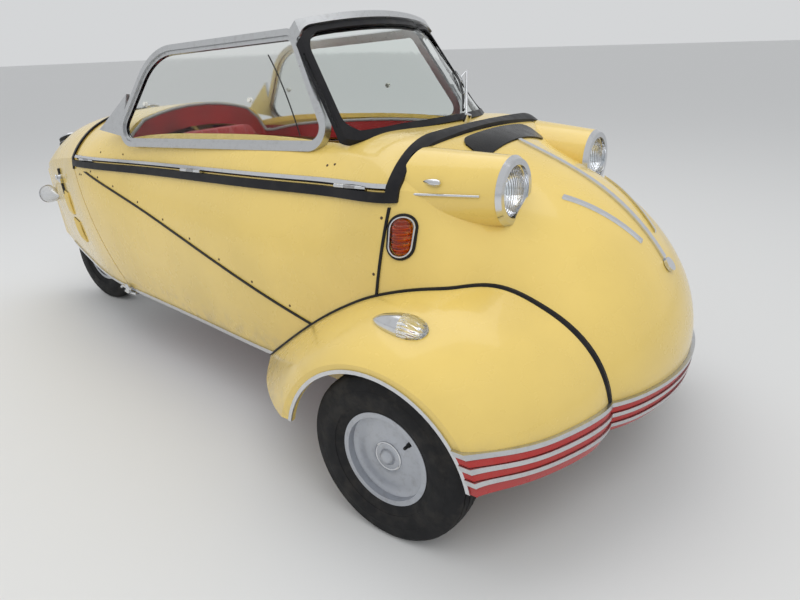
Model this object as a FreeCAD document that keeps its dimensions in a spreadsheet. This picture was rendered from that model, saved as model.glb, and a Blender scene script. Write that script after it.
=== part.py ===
import FreeCAD, Part
import math
import os
import types
import Sketcher
from FreeCAD import Placement, Rotation, Vector

# Three-wheeled bubble car with two seats in tandem, open cabin and side-hinged canopy.
# Frame: +X forward, +Y to the car's left, +Z up, origin on the ground under its middle.
# Lengths are millimetres and angles are degrees.

doc = FreeCAD.newDocument("bubble_car")
sizes = doc.addObject("Spreadsheet::Sheet", "Sizes")

# Driving dimensions: alias, value, what it is
DIMENSIONS = [
    ("front_axle_x", 950, "front axle line"),
    ("rear_axle_x", -1080, "rear axle line"),
    ("wheel_y", 540, "front wheel centre from the middle plane"),
    ("king_pin_y", 462, "steering axis from the middle plane"),
    ("tyre_radius", 205, "tyre outer radius"),
    ("tyre_width", 100, "tyre section width"),
    ("tread_width", 72, "flat of the tread"),
    ("bead_radius", 104, "where tyre and rim meet"),
    ("bead_gap", 0.3, "clearance between tyre and rim"),
    ("rim_width", 76, "rim across its flanges"),
    ("rim_lip", 9, "height of the rim flange"),
    ("rim_wall", 3, "sheet thickness of rim and disc"),
    ("disc_dish", 20, "how far the disc lies inside the outer flange"),
    ("hub_radius", 30, "hub that the disc is bolted to"),
    ("hub_length", 52, "hub along the axle"),
    ("hub_cap_radius", 17, "grease cap on the hub"),
    ("axle_radius", 11, "stub axle"),
    ("running_gap", 0.05, "radial clearance of shafts that turn"),
    ("wall", 10, "thickness of the body panels"),
    ("seat_gap", 0.3, "gap between pieces that rest on each other"),
    ("panel_gap", 6, "half of the gap along panels that move"),
    ("belt_rear_x", -650, "rear end of the belt line"),
    ("belt_rear_y", 294, "belt half width at its rear end"),
    ("belt_rear_z", 707, "belt height at its rear end"),
    ("belt_front_x", 860, "front end of the belt line"),
    ("belt_front_y", 392, "belt half width at its front end"),
    ("belt_front_z", 757, "belt height at its front end"),
    ("sill_z", 238, "bottom edge of the body"),
    ("nose_pivot_x", 1000, "line that the nose sections fan out from"),
    ("nose_pivot_z", 330, "height of that line"),
    ("nose_centre_x", 700, "centre of the nose's side profile"),
    ("nose_centre_z", 350, "height of that centre"),
    ("nose_length", 712, "half length of that profile"),
    ("nose_height", 500, "half height of that profile"),
    ("seam_rise_x", 862, "front seam at the belt"),
    ("seam_foot_x", 800, "front seam at the sill"),
    ("tail_seam_x", -656, "tail seam at the belt"),
    ("tail_foot_x", -445, "tail seam at the sill"),
    ("side_seam_rear_z", 690, "side seam at the tail"),
    ("side_seam_front_z", 348, "side seam at the front seam"),
    ("lamp_x", 1066, "front edge of the headlamp pods"),
    ("lamp_y", 235, "headlamp centre from the middle plane"),
    ("lamp_z", 745, "headlamp centre height"),
    ("pod_radius", 77, "pod radius at the lamp"),
    ("pod_root_x", 850, "where the pods start"),
    ("pod_root_y", 286, "pod centre at its root"),
    ("pod_root_z", 738, "pod centre height at its root"),
    ("pod_root_radius", 98, "pod radius at its root"),
    ("lamp_rim", 19, "width of the headlamp rim ring"),
    ("lamp_rim_depth", 30, "length of the headlamp rim"),
    ("lens_rise", 16, "how far the headlamp glass bulges"),
    ("arch_x", 942, "middle of the wheel arch"),
    ("arch_z", 180, "height of the wheel arch's centre"),
    ("arch_half", 245, "half length of the wheel arch"),
    ("arch_rise", 240, "height of the wheel arch"),
    ("fender_foot_z", 236, "bottom edge of the fenders"),
    ("well_rear_x", 690, "rear wall of the wheel well"),
    ("well_front_x", 1212, "front wall of the wheel well"),
    ("well_top_z", 428, "top of the wheel well"),
    ("well_y", 360, "inner wall of the wheel well"),
    ("liner_wall", 4, "sheet thickness of the wheel houses"),
    ("floor_wall", 8, "thickness of the floor"),
    ("footwell_front_x", 1190, "front end of the footwell"),
    ("opening_rear_x", -300, "rear edge of the cockpit opening"),
    ("opening_y", 297, "half width of the cockpit opening"),
    ("opening_corner_x", 640, "where the screen's base starts to curve"),
    ("opening_front_x", 772, "front edge of the cockpit opening"),
    ("screen_base_x", 782, "screen glass, foot at the middle"),
    ("screen_base_z", 866, "height of that point"),
    ("screen_base_side_x", 660, "screen glass, foot at the sides"),
    ("screen_base_side_y", 318, "half width of the glass at its foot"),
    ("screen_base_side_z", 842, "height of the glass's foot at the sides"),
    ("screen_top_x", 553, "screen glass, top at the middle"),
    ("screen_top_z", 1104, "height of that point"),
    ("screen_top_side_x", 498, "screen glass, top at the sides"),
    ("screen_top_side_y", 284, "half width of the glass at its top"),
    ("screen_top_side_z", 1081, "height of the glass's top at the sides"),
    ("screen_thickness", 5, "screen glass"),
    ("seal_width", 30, "screen rubber seen from the front"),
    ("seal_depth", 20, "screen rubber through its thickness"),
    ("window_foot_y", 320, "side window plane at its foot"),
    ("window_foot_z", 785, "height of that foot"),
    ("window_lean", 13.2, "lean of the side windows"),
    ("frame_width", 17, "side window frame seen from the side"),
    ("frame_depth", 12, "side window frame through its thickness"),
    ("pane_thickness", 4, "side window pane"),
    ("rail_width", 16, "outer rail seen from the side"),
    ("header_height", 22, "header bar"),
    ("canopy_pin_offset", 11, "canopy hinge axis outboard of the belt"),
    ("hinge_radius", 5, "canopy hinge knuckle"),
    ("hinge_pin_radius", 2.5, "canopy hinge pin"),
    ("tail_pin_x", -655, "tail hinge axis"),
    ("tail_pin_z", 859, "height of the tail hinge axis"),
    ("band_top", 5.5, "top of the rubber band below the belt line"),
    ("belt_strip", 9, "height of the bright strip along the canopy's lower edge"),
    ("band_height", 36, "rubber band under the belt line"),
    ("band_depth", 9, "how far that band stands out"),
    ("cowl_seal_depth", 13, "how far the rubber on the front seam stands out"),
    ("strip_foot_z", 500, "the nose strips end above this height"),
    ("trim_depth", 5, "how far thin trim stands out"),
    ("strip_width", 10, "one bumper strip"),
    ("strip_pitch", 27, "bumper strips, one to the next"),
    ("strip_z", 262, "lower edge of the lowest bumper strip"),
    ("tube_radius", 34, "main chassis tube"),
    ("tube_z", 200, "main chassis tube's height"),
    ("tow_radius", 10, "hole of the towing eye"),
    ("tow_reach", 90, "towing tab, from the axle clamp forwards"),
    ("tow_tab_wall", 10, "towing tab's thickness"),
    ("indicator_radius", 24, "indicator lens"),
    ("indicator_z", 640, "lower centre of the indicator's rounded ends"),
    ("indicator_rise", 36, "from there to the upper centre"),
]
for row, (alias, value, note) in enumerate(DIMENSIONS, start=1):
    sizes.set("A%d" % row, alias)
    sizes.set("B%d" % row, str(value))
    sizes.set("C%d" % row, note)
    sizes.setAlias("B%d" % row, alias)
doc.recompute()


class Size(float):
    """A length that also carries the spreadsheet expression it comes from."""

    def __new__(cls, value, text):
        size = float.__new__(cls, value)
        size.text = text
        return size

    def __add__(self, other):
        return Size(float(self) + float(other), "(%s + %s)" % (self.text, text_of(other)))

    def __radd__(self, other):
        return Size(float(self) + float(other), "(%s + %s)" % (text_of(other), self.text))

    def __sub__(self, other):
        return Size(float(self) - float(other), "(%s - %s)" % (self.text, text_of(other)))

    def __rsub__(self, other):
        return Size(float(other) - float(self), "(%s - %s)" % (text_of(other), self.text))

    def __mul__(self, other):
        return Size(float(self) * float(other), "(%s * %s)" % (self.text, text_of(other)))

    def __rmul__(self, other):
        return Size(float(self) * float(other), "(%s * %s)" % (text_of(other), self.text))

    def __truediv__(self, other):
        return Size(float(self) / float(other), "(%s / %s)" % (self.text, text_of(other)))

    def __neg__(self):
        return Size(-float(self), "(0 - %s)" % self.text)


def text_of(number):
    """Expression text of a size or of a bare number."""
    return number.text if isinstance(number, Size) else "%.6f" % number


s = types.SimpleNamespace(**{alias: Size(sizes.get("B%d" % row), "Sizes." + alias)
                             for row, (alias, value, note) in enumerate(DIMENSIONS, start=1)})


# Hull sections, each in a plane across the car: plane origin x and z, tilt of the plane
# (90 is upright), crown height, half width and height of the shoulder, half width and height
# of the belt, bulge of the side (0 runs on smoothly), half width and height of the foot.
# Heights are measured in the plane from its origin.
FLAT = 90


def belt(x):
    """Half width and height of the belt line at x."""
    share = (x - s.belt_rear_x) / (s.belt_front_x - s.belt_rear_x)
    return (s.belt_rear_y + share * (s.belt_front_y - s.belt_rear_y),
            s.belt_rear_z + share * (s.belt_front_z - s.belt_rear_z))


def nose_reach(tilt):
    """Distance from the fan line to the nose's side profile, along a plane's tilt."""
    cos_t = math.cos(math.radians(tilt))
    sin_t = math.sin(math.radians(tilt))
    dx = s.nose_pivot_x - s.nose_centre_x
    dz = s.nose_pivot_z - s.nose_centre_z
    aa = (cos_t / s.nose_length) ** 2 + (sin_t / s.nose_height) ** 2
    bb = 2 * (dx * cos_t / s.nose_length ** 2 + dz * sin_t / s.nose_height ** 2)
    cc = (dx / s.nose_length) ** 2 + (dz / s.nose_height) ** 2 - 1
    return (-bb + math.sqrt(bb * bb - 4 * aa * cc)) / (2 * aa)


# Tail: x, crown z, shoulder y and z, crease y and z, bulge, foot y and z
TAIL = [
    (-1402, 579, 22, 576, 42, 567, 2, 20, 264),
    (-1250, 682, 60, 662, 106, 614, 8, 62, 242),
    (-1050, 766, 110, 730, 178, 656, 15, 128, 238),
    (-850, 818, 146, 782, 238, 684, 22, 192, 238),
]
# Cabin: x, crown z, shoulder y and z, bulge, foot y (belt and sill come from the sizes)
CABIN = [
    (-650, 849, 176, 811, 27, 250),
    (-250, 885, 215, 858, 32, 310),
    (150, 895, 220, 872, 36, 358),
    (500, 882, 225, 864, 36, 396),
    (700, 868, 228, 855, 34, 404),
    (860, 849, 230, 843, 32, 406),
]
# Nose: tilt, crown radius, shoulder y, belt y and reach, foot y
NOSE = [
    (66, 410, 150, 300, 280, 388),
    (42, 467, 160, 312, 270, 392),
    (18, 509, 180, 332, 265, 396),
    (-3, 568, 200, 350, 262, 399),
    (-15, 568, 200, 350, 258, 399),
]
NOSE_FOOT = 60


def hull_rows():
    """All hull sections from tail to nose."""
    rows = [(x, 0, FLAT, top, sy, sz, by, bz, bulge, fy, fz)
            for x, top, sy, sz, by, bz, bulge, fy, fz in TAIL]
    for x, top, sy, sz, bulge, fy in CABIN:
        by, bz = belt(x)
        rows.append((x, 0, FLAT, top, sy, sz, by, bz, bulge, fy, s.sill_z))
    rows.append((s.nose_pivot_x, s.nose_pivot_z, FLAT, nose_reach(FLAT), 200,
                 nose_reach(FLAT) - 51, 300, 370, 38, 402, NOSE_FOOT))
    for tilt, radius, sy, by, br, fy in NOSE:
        reach = nose_reach(tilt)
        drop = radius - math.sqrt(radius ** 2 - sy ** 2)
        rows.append((s.nose_pivot_x, s.nose_pivot_z, tilt, reach, sy, reach - drop,
                     by, br, 0, fy, NOSE_FOOT))
    return rows


def unit(a, b):
    size = math.hypot(a, b)
    return a / size, b / size


def hull_section(row, inset, sink):
    """Closed wire of one section, moved inwards by inset, its foot lowered by sink."""
    ox, oz, tilt, top, sy, sr, by, br, bulge, fy, fr = row
    cos_t = math.cos(math.radians(tilt))
    sin_t = math.sin(math.radians(tilt))

    def at(y, r):
        return Vector(ox + r * cos_t, y, oz + r * sin_t)

    crown = (sy ** 2 + (top - sr) ** 2) / (2 * (top - sr))
    n = (sy / crown, 1 - (top - sr) / crown)
    d = (by - sy, br - sr)
    corner = -(d[0] ** 2 + d[1] ** 2) / (2 * (d[0] * n[0] + d[1] * n[1]))
    c = (sy - corner * n[0], sr - corner * n[1])
    m = ((by - c[0]) / corner, (br - c[1]) / corner)
    mid = unit(n[0] + m[0], n[1] + m[1])
    shoulder = (sy - inset * n[0], sr - inset * n[1])
    corner_mid = (c[0] + (corner - inset) * mid[0], c[1] + (corner - inset) * mid[1])
    edge = (by - inset * m[0], br - inset * m[1])
    e = (fy - by, fr - br)
    if bulge:
        out = unit(-e[1], e[0])
        half = (by + e[0] / 2 + (bulge - inset) * out[0], br + e[1] / 2 + (bulge - inset) * out[1])
        foot = (fy - inset, fr - sink)
    else:
        radius = -(e[0] ** 2 + e[1] ** 2) / (2 * (e[0] * m[0] + e[1] * m[1]))
        c = (by - radius * m[0], br - radius * m[1])
        f = ((fy - c[0]) / radius, (fr - c[1]) / radius)
        mid = unit(m[0] + f[0], m[1] + f[1])
        half = (c[0] + (radius - inset) * mid[0], c[1] + (radius - inset) * mid[1])
        foot = (fy - inset * f[0], fr - inset * f[1] - sink)

    def side(sign):
        arcs = [Part.Arc(at(sign * foot[0], foot[1]), at(sign * half[0], half[1]),
                         at(sign * edge[0], edge[1])),
                Part.Arc(at(sign * edge[0], edge[1]), at(sign * corner_mid[0], corner_mid[1]),
                         at(sign * shoulder[0], shoulder[1]))]
        return [curve.toShape() for curve in arcs]

    base = Part.LineSegment(at(-foot[0], foot[1]), at(foot[0], foot[1])).toShape()
    over = Part.Arc(at(shoulder[0], shoulder[1]), at(0, top - inset),
                    at(-shoulder[0], shoulder[1])).toShape()
    left = side(1)
    right = side(-1)
    return Part.Wire([base, left[0], left[1], over, right[1], right[0]])


OPEN_DEPTH = 26      # how far the inner form runs out of the open underside
OPEN_TILT = 6        # and how far it runs past the last nose section
hull_cache = {}


def hull(inset, opened=False):
    """Solid of the whole hull, inset from its outer face; opened runs out underneath."""
    key = (round(inset, 3), opened)
    if key not in hull_cache:
        rows = hull_rows()
        sink = OPEN_DEPTH if opened else 0
        first = list(rows[0])
        first[0] += inset
        last = list(rows[-1])
        if opened:
            last[2] -= OPEN_TILT
        rows = [first] + rows[1:-1] + [last]
        wires = [hull_section(row, inset, sink) for row in rows]
        hull_cache[key] = Part.makeLoft(wires, True, False)
    return hull_cache[key]


def solid_xz(points, y0, y1):
    """Straight prism along Y of a polygon in the XZ plane."""
    ring = [Vector(x, y0, z) for x, z in points]
    return Part.Face(Part.makePolygon(ring + [ring[0]])).extrude(Vector(0, y1 - y0, 0))


def box(x0, y0, z0, x1, y1, z1):
    return Part.makeBox(x1 - x0, y1 - y0, z1 - z0, Vector(x0, y0, z0))




def mirrored(shape):
    """The same piece on the other side of the car."""
    return shape.mirror(Vector(0, 0, 0), Vector(0, 1, 0))


FAR = Vector(0, 0, 9000)     # a point outside every piece


def solids(*shapes):
    """One compound of every solid in the shapes."""
    found = [solid for shape in shapes for solid in shape.Solids]
    found = [solid.reversed() if solid.isInside(FAR, 1e-3, False) else solid for solid in found]
    return found[0] if len(found) == 1 else Part.makeCompound(found)


def pair(shape):
    return solids(shape, mirrored(shape))


def cylinder(radius, start, end):
    start = Vector(*start)
    run = Vector(*end) - start
    return Part.makeCylinder(radius, run.Length, start, run)


def rounded(points, radii):
    """Closed wire in the XZ plane with each corner rounded by its own radius."""
    edges = []
    count = len(points)
    tips = []
    for i, (x, z) in enumerate(points):
        corner = Vector(x, 0, z)
        back = Vector(points[i - 1][0], 0, points[i - 1][1]) - corner
        ahead = Vector(points[(i + 1) % count][0], 0, points[(i + 1) % count][1]) - corner
        half = back.getAngle(ahead) / 2
        back.normalize()
        ahead.normalize()
        reach = radii[i] / math.tan(half)
        inward = (back + ahead).normalize()
        middle = corner + inward * (radii[i] / math.sin(half) - radii[i])
        tips.append((corner + back * reach, middle, corner + ahead * reach))
    for i, (start, middle, end) in enumerate(tips):
        edges.append(Part.Arc(start, middle, end).toShape())
        edges.append(Part.LineSegment(end, tips[(i + 1) % count][0]).toShape())
    return Part.Wire(edges)


nodes = {}


def keep(name, obj):
    """Name a document object as a sub-part."""
    obj.Label = name
    nodes[name] = obj
    return obj


def shape_node(name, shape):
    obj = doc.addObject("Part::Feature", name)
    obj.Shape = shape
    return keep(name, obj)


def bind(obj, **properties):
    """Set properties of a document object and bind them to the sheet."""
    for prop, size in properties.items():
        prop = prop.replace("_", ".")
        if "." not in prop:
            setattr(obj, prop, float(size))
        if isinstance(size, Size):
            obj.setExpression(prop, size.text)


def place(obj, base, rotation=None):
    """Put a document object at a point whose coordinates may be sizes."""
    obj.Placement = Placement(Vector(*[float(c) for c in base]), rotation or Rotation())
    for axis, size in zip("xyz", base):
        if isinstance(size, Size):
            obj.setExpression("Placement.Base." + axis, size.text)


def block(name, base, lengths):
    obj = doc.addObject("Part::Box", name)
    bind(obj, Length=lengths[0], Width=lengths[1], Height=lengths[2])
    place(obj, base)
    return obj


TURN = {"x": Rotation(Vector(0, 1, 0), 90), "y": Rotation(Vector(1, 0, 0), -90), "z": Rotation()}


def rod(name, base, axis, radius, length):
    obj = doc.addObject("Part::Cylinder", name)
    bind(obj, Radius=radius, Height=length)
    place(obj, base, TURN[axis])
    return obj


def fused(name, pieces):
    obj = doc.addObject("Part::MultiFuse", name)
    obj.Shapes = pieces
    return keep(name, obj)


def grouped(name, pieces):
    obj = doc.addObject("Part::Compound", name)
    obj.Links = pieces
    return keep(name, obj)


def turned(name, profile, base, rotation):
    """Body turned from a closed profile of points: distance along the axle, radius."""
    body = doc.addObject("PartDesign::Body", name)
    sketch = body.newObject("Sketcher::SketchObject", name + "_profile")
    plane = [item for item in body.Origin.OriginFeatures if item.Role == "XY_Plane"][0]
    sketch.AttachmentSupport = (plane, [""])
    sketch.MapMode = "FlatFace"
    count = len(profile)
    for i in range(count):
        start = profile[i]
        end = profile[(i + 1) % count]
        sketch.addGeometry(Part.LineSegment(Vector(float(start[0]), float(start[1]), 0),
                                            Vector(float(end[0]), float(end[1]), 0)), False)
    for i in range(count):
        sketch.addConstraint(Sketcher.Constraint("Coincident", i, 2, (i + 1) % count, 1))
    for i, point in enumerate(profile):
        for kind, size, axis in (("DistanceX", point[0], -2), ("DistanceY", point[1], -1)):
            if abs(size) < 1e-9:
                sketch.addConstraint(Sketcher.Constraint("PointOnObject", i, 1, axis))
                continue
            number = sketch.addConstraint(Sketcher.Constraint(kind, -1, 1, i, 1, float(size)))
            if isinstance(size, Size):
                sketch.setExpression("Constraints[%d]" % number, size.text)
    turn = body.newObject("PartDesign::Revolution", name + "_turn")
    turn.Profile = sketch
    turn.ReferenceAxis = (sketch, ["H_Axis"])
    turn.Angle = 360
    place(body, base, rotation)
    return keep(name, body)


# Regions of the body, as outlines in the XZ plane
HALF = 720        # reaches past the widest part of the body
HIGH = 1300       # reaches past the tallest part


def seam_front(z):
    """x of the seam between nose and body."""
    return s.seam_foot_x + (s.seam_rise_x - s.seam_foot_x) * (z - s.sill_z) / (s.belt_front_z - s.sill_z)


KNEE_X = -22      # the tail seam runs forward from a knee, this far behind its top
KNEE_Z = -32      # and this far below the belt


def seam_tail(shift):
    """Outline points of the tail seam from sill to top, moved by shift."""
    foot = (s.tail_foot_x + shift, s.sill_z)
    knee = (s.tail_seam_x + KNEE_X + shift, s.belt_rear_z + KNEE_Z)
    return [foot, knee, (s.tail_seam_x + shift, s.belt_rear_z), (s.tail_seam_x + shift, HIGH)]


def belt_z(x):
    return belt(x)[1]


def side_seam(x):
    """Height of the slanting seam on the body's side."""
    slope = (s.side_seam_front_z - s.side_seam_rear_z) / (s.seam_foot_x - s.tail_seam_x)
    return s.side_seam_rear_z + slope * (x - s.tail_seam_x)


def prism(points):
    return solid_xz(points, -HALF, HALF)


def panel(region):
    """Body panel: the hull's wall inside a region."""
    return region.common(hull(0)).cut(hull(s.wall, True))


def laid_on(region, depth):
    """Strip of a given depth laid on the hull inside a region."""
    return region.common(hull(-depth)).cut(hull(-s.seat_gap))


def inside(region, gap):
    """What of a region lies inside the body panels, this far from them."""
    return region.common(hull(s.wall + gap))


def wells(grow):
    """Boxes of both wheel wells."""
    return pair(box(s.well_rear_x - grow, -HALF, 0, s.well_front_x + grow, -s.well_y + grow,
                    s.well_top_z + grow))


# Fender sections across the car: y, rear foot x, front foot x, crown x, crown z, crown radius
FENDER = [
    (250, 290, 1316, 990, 574, 460),
    (330, 345, 1328, 985, 566, 450),
    (410, 415, 1308, 980, 549, 430),
    (490, 488, 1275, 972, 524, 410),
    (550, 562, 1240, 960, 492, 375),
    (592, 630, 1212, 950, 462, 330),
    (610, 668, 1203, 944, 440, 288),
]
CROWN_SPAN = 27      # half angle of the crown arc


def fender_section(row, inset, sink):
    y, rear_x, front_x, crown_x, crown_z, radius = row
    foot_z = s.fender_foot_z - sink
    span = math.radians(CROWN_SPAN)
    centre = (crown_x, crown_z - radius)

    def at(point):
        return Vector(point[0], y, point[1])

    def flank(sign, foot_x):
        m = (sign * math.sin(span), math.cos(span))
        top = (centre[0] + radius * m[0], centre[1] + radius * m[1])
        e = (foot_x - top[0], s.fender_foot_z - top[1])
        bend = -(e[0] ** 2 + e[1] ** 2) / (2 * (e[0] * m[0] + e[1] * m[1]))
        c = (top[0] - bend * m[0], top[1] - bend * m[1])
        f = ((foot_x - c[0]) / bend, (s.fender_foot_z - c[1]) / bend)
        mid = unit(m[0] + f[0], m[1] + f[1])
        return ((top[0] - inset * m[0], top[1] - inset * m[1]),
                (c[0] + (bend - inset) * mid[0], c[1] + (bend - inset) * mid[1]),
                (foot_x - inset * f[0], foot_z - inset * f[1]))

    rear = flank(-1, rear_x)
    front = flank(1, front_x)
    crown = (crown_x, crown_z - inset)
    arcs = [Part.Arc(at(rear[2]), at(rear[1]), at(rear[0])), Part.Arc(at(rear[0]), at(crown), at(front[0])),
            Part.Arc(at(front[0]), at(front[1]), at(front[2]))]
    edges = [curve.toShape() for curve in arcs]
    return Part.Wire(edges + [Part.LineSegment(at(front[2]), at(rear[2])).toShape()])


fender_cache = {}


def fender(inset, opened=False):
    """Solid of the left fender, inset from its outer face."""
    key = (round(inset, 3), opened)
    if key not in fender_cache:
        last = list(FENDER[-1])
        last[0] -= inset
        rows = FENDER[:-1] + [last]
        wires = [fender_section(row, inset, OPEN_DEPTH if opened else 0) for row in rows]
        fender_cache[key] = Part.makeLoft(wires, True, False)
    return fender_cache[key]


def arch(grow):
    """Half-elliptic wheel arch of the left side, grown by this much, as a cutter."""
    ellipse = Part.Ellipse(Vector(s.arch_x, 0, s.arch_z), s.arch_half + grow, s.arch_rise + grow)
    ellipse.Axis = Vector(0, -1, 0)
    ellipse.XAxis = Vector(1, 0, 0)
    face = Part.Face(Part.Wire([ellipse.toShape()]))
    return face.extrude(Vector(0, HALF, 0))


# Body shell
outer_pods = []
inner_pods = []
for inset, store in ((0, outer_pods), (s.wall, inner_pods)):
    root = Part.Circle(Vector(s.pod_root_x, s.pod_root_y, s.pod_root_z), Vector(1, 0, 0),
                       s.pod_root_radius - inset).toShape()
    face = Part.Circle(Vector(s.lamp_x + inset, s.lamp_y, s.lamp_z), Vector(1, 0, 0),
                       s.pod_radius - inset).toShape()
    pod = Part.makeLoft([Part.Wire([root]), Part.Wire([face])], True, True)
    store.extend([pod, mirrored(pod)])

nose_region = prism([(seam_front(s.sill_z + 4), s.sill_z + 4), (seam_front(s.belt_front_z), s.belt_front_z),
                     (seam_front(HIGH), HIGH), (1500, HIGH), (1500, s.sill_z + 4)])
nose_outer = nose_region.common(hull(0).fuse([pod.common(nose_region) for pod in outer_pods]))
nose_shell = nose_outer.cut(hull(s.wall, True)).cut(inner_pods[0]).cut(inner_pods[1]).cut(wells(0))

side_region = prism(seam_tail(0)[:3] + [(s.tail_seam_x, belt_z(s.tail_seam_x) - s.panel_gap / 2),
                    (seam_front(s.belt_front_z), belt_z(seam_front(s.belt_front_z)) - s.panel_gap / 2),
                    (seam_front(s.sill_z), s.sill_z)])
above_seam = prism([(-900, side_seam(-900)), (1000, side_seam(1000)), (1000, HIGH), (-900, HIGH)])
below_seam = prism([(-900, side_seam(-900)), (1000, side_seam(1000)), (1000, 0), (-900, 0)])
# Pin line of the canopy hinge, and the pockets its three hinges sit in
pin_rear = Vector(s.belt_rear_x, -(s.belt_rear_y + s.canopy_pin_offset), s.belt_rear_z)
pin_front = Vector(s.belt_front_x, -(s.belt_front_y + s.canopy_pin_offset), s.belt_front_z)
pin_run = (pin_front - pin_rear).normalize()
HINGE_X = (-540, 100, 740)
HINGE_HALF = 50    # half length of one canopy hinge
hinge_spots = [pin_rear + pin_run * ((x - pin_rear.x) / pin_run.x) for x in HINGE_X]
pockets = [Part.makeCylinder(s.hinge_radius + 1, 2 * HINGE_HALF + 4, spot - pin_run * (HINGE_HALF + 2), pin_run)
           for spot in hinge_spots]
upper_sides = panel(side_region.common(above_seam)).cut(wells(0)).cut(pockets)
shape_node("upper_sides", solids(upper_sides))
nose_shell = nose_shell.cut(upper_sides)
shape_node("nose_shell", solids(nose_shell))
shape_node("lower_sides", solids(panel(side_region.common(below_seam)).cut(wells(0))))

left_fender = fender(0).cut(fender(s.wall, True)).cut(hull(-s.seat_gap)).cut(arch(0))
left_fender = left_fender.common(box(0, 0, s.fender_foot_z, 1500, HALF, HIGH))
shape_node("fenders", pair(left_fender))

# Tail cover
tail_region = prism([(-1500, s.sill_z)] + seam_tail(-s.panel_gap) + [(-1500, HIGH)])
tail_cover = panel(tail_region)
shape_node("tail_cover", solids(tail_cover))

# Canopy shell
opening_arc = Part.Arc(Vector(s.opening_corner_x, -s.opening_y, 0), Vector(s.opening_front_x, 0, 0),
                       Vector(s.opening_corner_x, s.opening_y, 0)).toShape()
opening_wire = Part.Wire([opening_arc] + [edge for edge in Part.makePolygon(
    [Vector(s.opening_corner_x, s.opening_y, 0), Vector(s.opening_rear_x, s.opening_y, 0),
     Vector(s.opening_rear_x, -s.opening_y, 0), Vector(s.opening_corner_x, -s.opening_y, 0)]).Edges])
cockpit_opening = Part.Face(opening_wire).extrude(Vector(0, 0, HIGH))
canopy_rear = s.tail_seam_x + 13
canopy_front = s.seam_rise_x - 16
canopy_region = prism([(canopy_rear, belt_z(canopy_rear) + s.panel_gap / 2),
                       (canopy_front, belt_z(canopy_front) + s.panel_gap / 2),
                       (canopy_front, HIGH), (canopy_rear, HIGH)])
canopy_shell = panel(canopy_region).cut(cockpit_opening).cut(pockets)
shape_node("canopy_shell", solids(canopy_shell))


# Wheel houses, floor and bulkheads inside the body
house = box(s.well_rear_x - s.liner_wall, s.well_y - s.liner_wall, s.sill_z + 12,
            s.well_front_x + s.liner_wall, HALF, s.well_top_z + s.liner_wall)
house = inside(house.cut(box(s.well_rear_x, s.well_y, 0, s.well_front_x, HALF, s.well_top_z)), s.seat_gap)
inner_plate = box(s.well_rear_x - s.liner_wall, s.well_y - s.liner_wall, s.sill_z + 12,
                  s.footwell_front_x, s.well_y, s.well_top_z)
ARM_HOLE = 42      # half size of the hole that the axle arm goes through
arm_hole = box(s.front_axle_x - ARM_HOLE, 0, 0, s.front_axle_x + ARM_HOLE, HALF, s.sill_z + 24)
house = house.fuse(inner_plate).cut(arm_hole).cut(nose_shell).cut(upper_sides)
house = max(house.Solids, key=lambda solid: solid.Volume)
shape_node("wheel_houses", pair(house))

floor_top = s.sill_z + 2 + s.floor_wall
tail_floor_x = s.tail_foot_x + 12
cabin_floor = inside(box(tail_floor_x, -HALF, s.sill_z + 2, s.well_rear_x - s.liner_wall - s.seat_gap,
                         HALF, floor_top), s.seat_gap)
tail_floor = inside(box(s.tail_seam_x + 2, -HALF, s.sill_z + 2, tail_floor_x + 1, HALF, floor_top), 16)
foot_y = s.well_y - s.liner_wall - s.seat_gap
footwell = box(s.well_rear_x - s.liner_wall - 20, -foot_y, s.sill_z + 2, s.footwell_front_x, foot_y, floor_top)
toe_board = inside(box(s.footwell_front_x - s.floor_wall, -foot_y, s.sill_z + 60,
                       s.footwell_front_x, foot_y, s.sill_z + 420), s.seat_gap)
toe_foot = box(s.footwell_front_x - s.floor_wall, -foot_y + 40, s.sill_z + 2, s.footwell_front_x,
               foot_y - 40, s.sill_z + 120)
shape_node("floor_pan", solids(cabin_floor.fuse([tail_floor, footwell, toe_board, toe_foot])))

BULKHEAD = 10      # thickness of the board behind the passenger
bulk_x = s.tail_seam_x + 2
bulkhead = inside(box(bulk_x, -HALF, floor_top + s.seat_gap, bulk_x + BULKHEAD, HALF, HIGH), 16)
shape_node("rear_bulkhead", solids(bulkhead))

# Chassis: main tube under the floor, saddles, rear rails for the engine
AXLE_TUBE = 26     # front axle tube radius
main_tube = rod("main_tube", (s.tail_seam_x - 8, 0, s.tube_z), "x", s.tube_radius,
                s.front_axle_x - s.tail_seam_x - 42)
saddle_top = s.sill_z + 2
saddles = [block("saddle_%d" % i, (x, -60, s.tube_z - 10), (60, 120, saddle_top - s.tube_z + 10))
           for i, x in enumerate((-420, -100, 420, 800))]
RAIL_Y = 96
RAIL = 15          # half height of the square rails
rails = [block("rail_%d" % i, (s.rear_axle_x + 215, sign * RAIL_Y - RAIL, s.tube_z - RAIL), (375, 2 * RAIL, 2 * RAIL))
         for i, sign in enumerate((-1, 1))]
cross = block("rail_cross", (-524, -RAIL_Y, s.tube_z - RAIL + 2), (28, 2 * RAIL_Y, 2 * RAIL - 4))
cradle = block("engine_cradle", (s.rear_axle_x + 264, -RAIL_Y - 6, s.tube_z + 6), (146, 2 * RAIL_Y + 12, 12))
clamp = block("axle_clamp", (s.front_axle_x - 60, -44, s.tube_z - 44), (120, 88, 83))
tow_tab = block("tow_tab", (s.front_axle_x + 50, -24, s.tube_z - 38), (s.tow_reach, 48, s.tow_tab_wall))
frame_solid = doc.addObject("Part::MultiFuse", "frame_solid")
frame_solid.Shapes = [main_tube] + saddles + rails + [cross, cradle, clamp, tow_tab]
frame_holes = doc.addObject("Part::Compound", "frame_holes")
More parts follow.
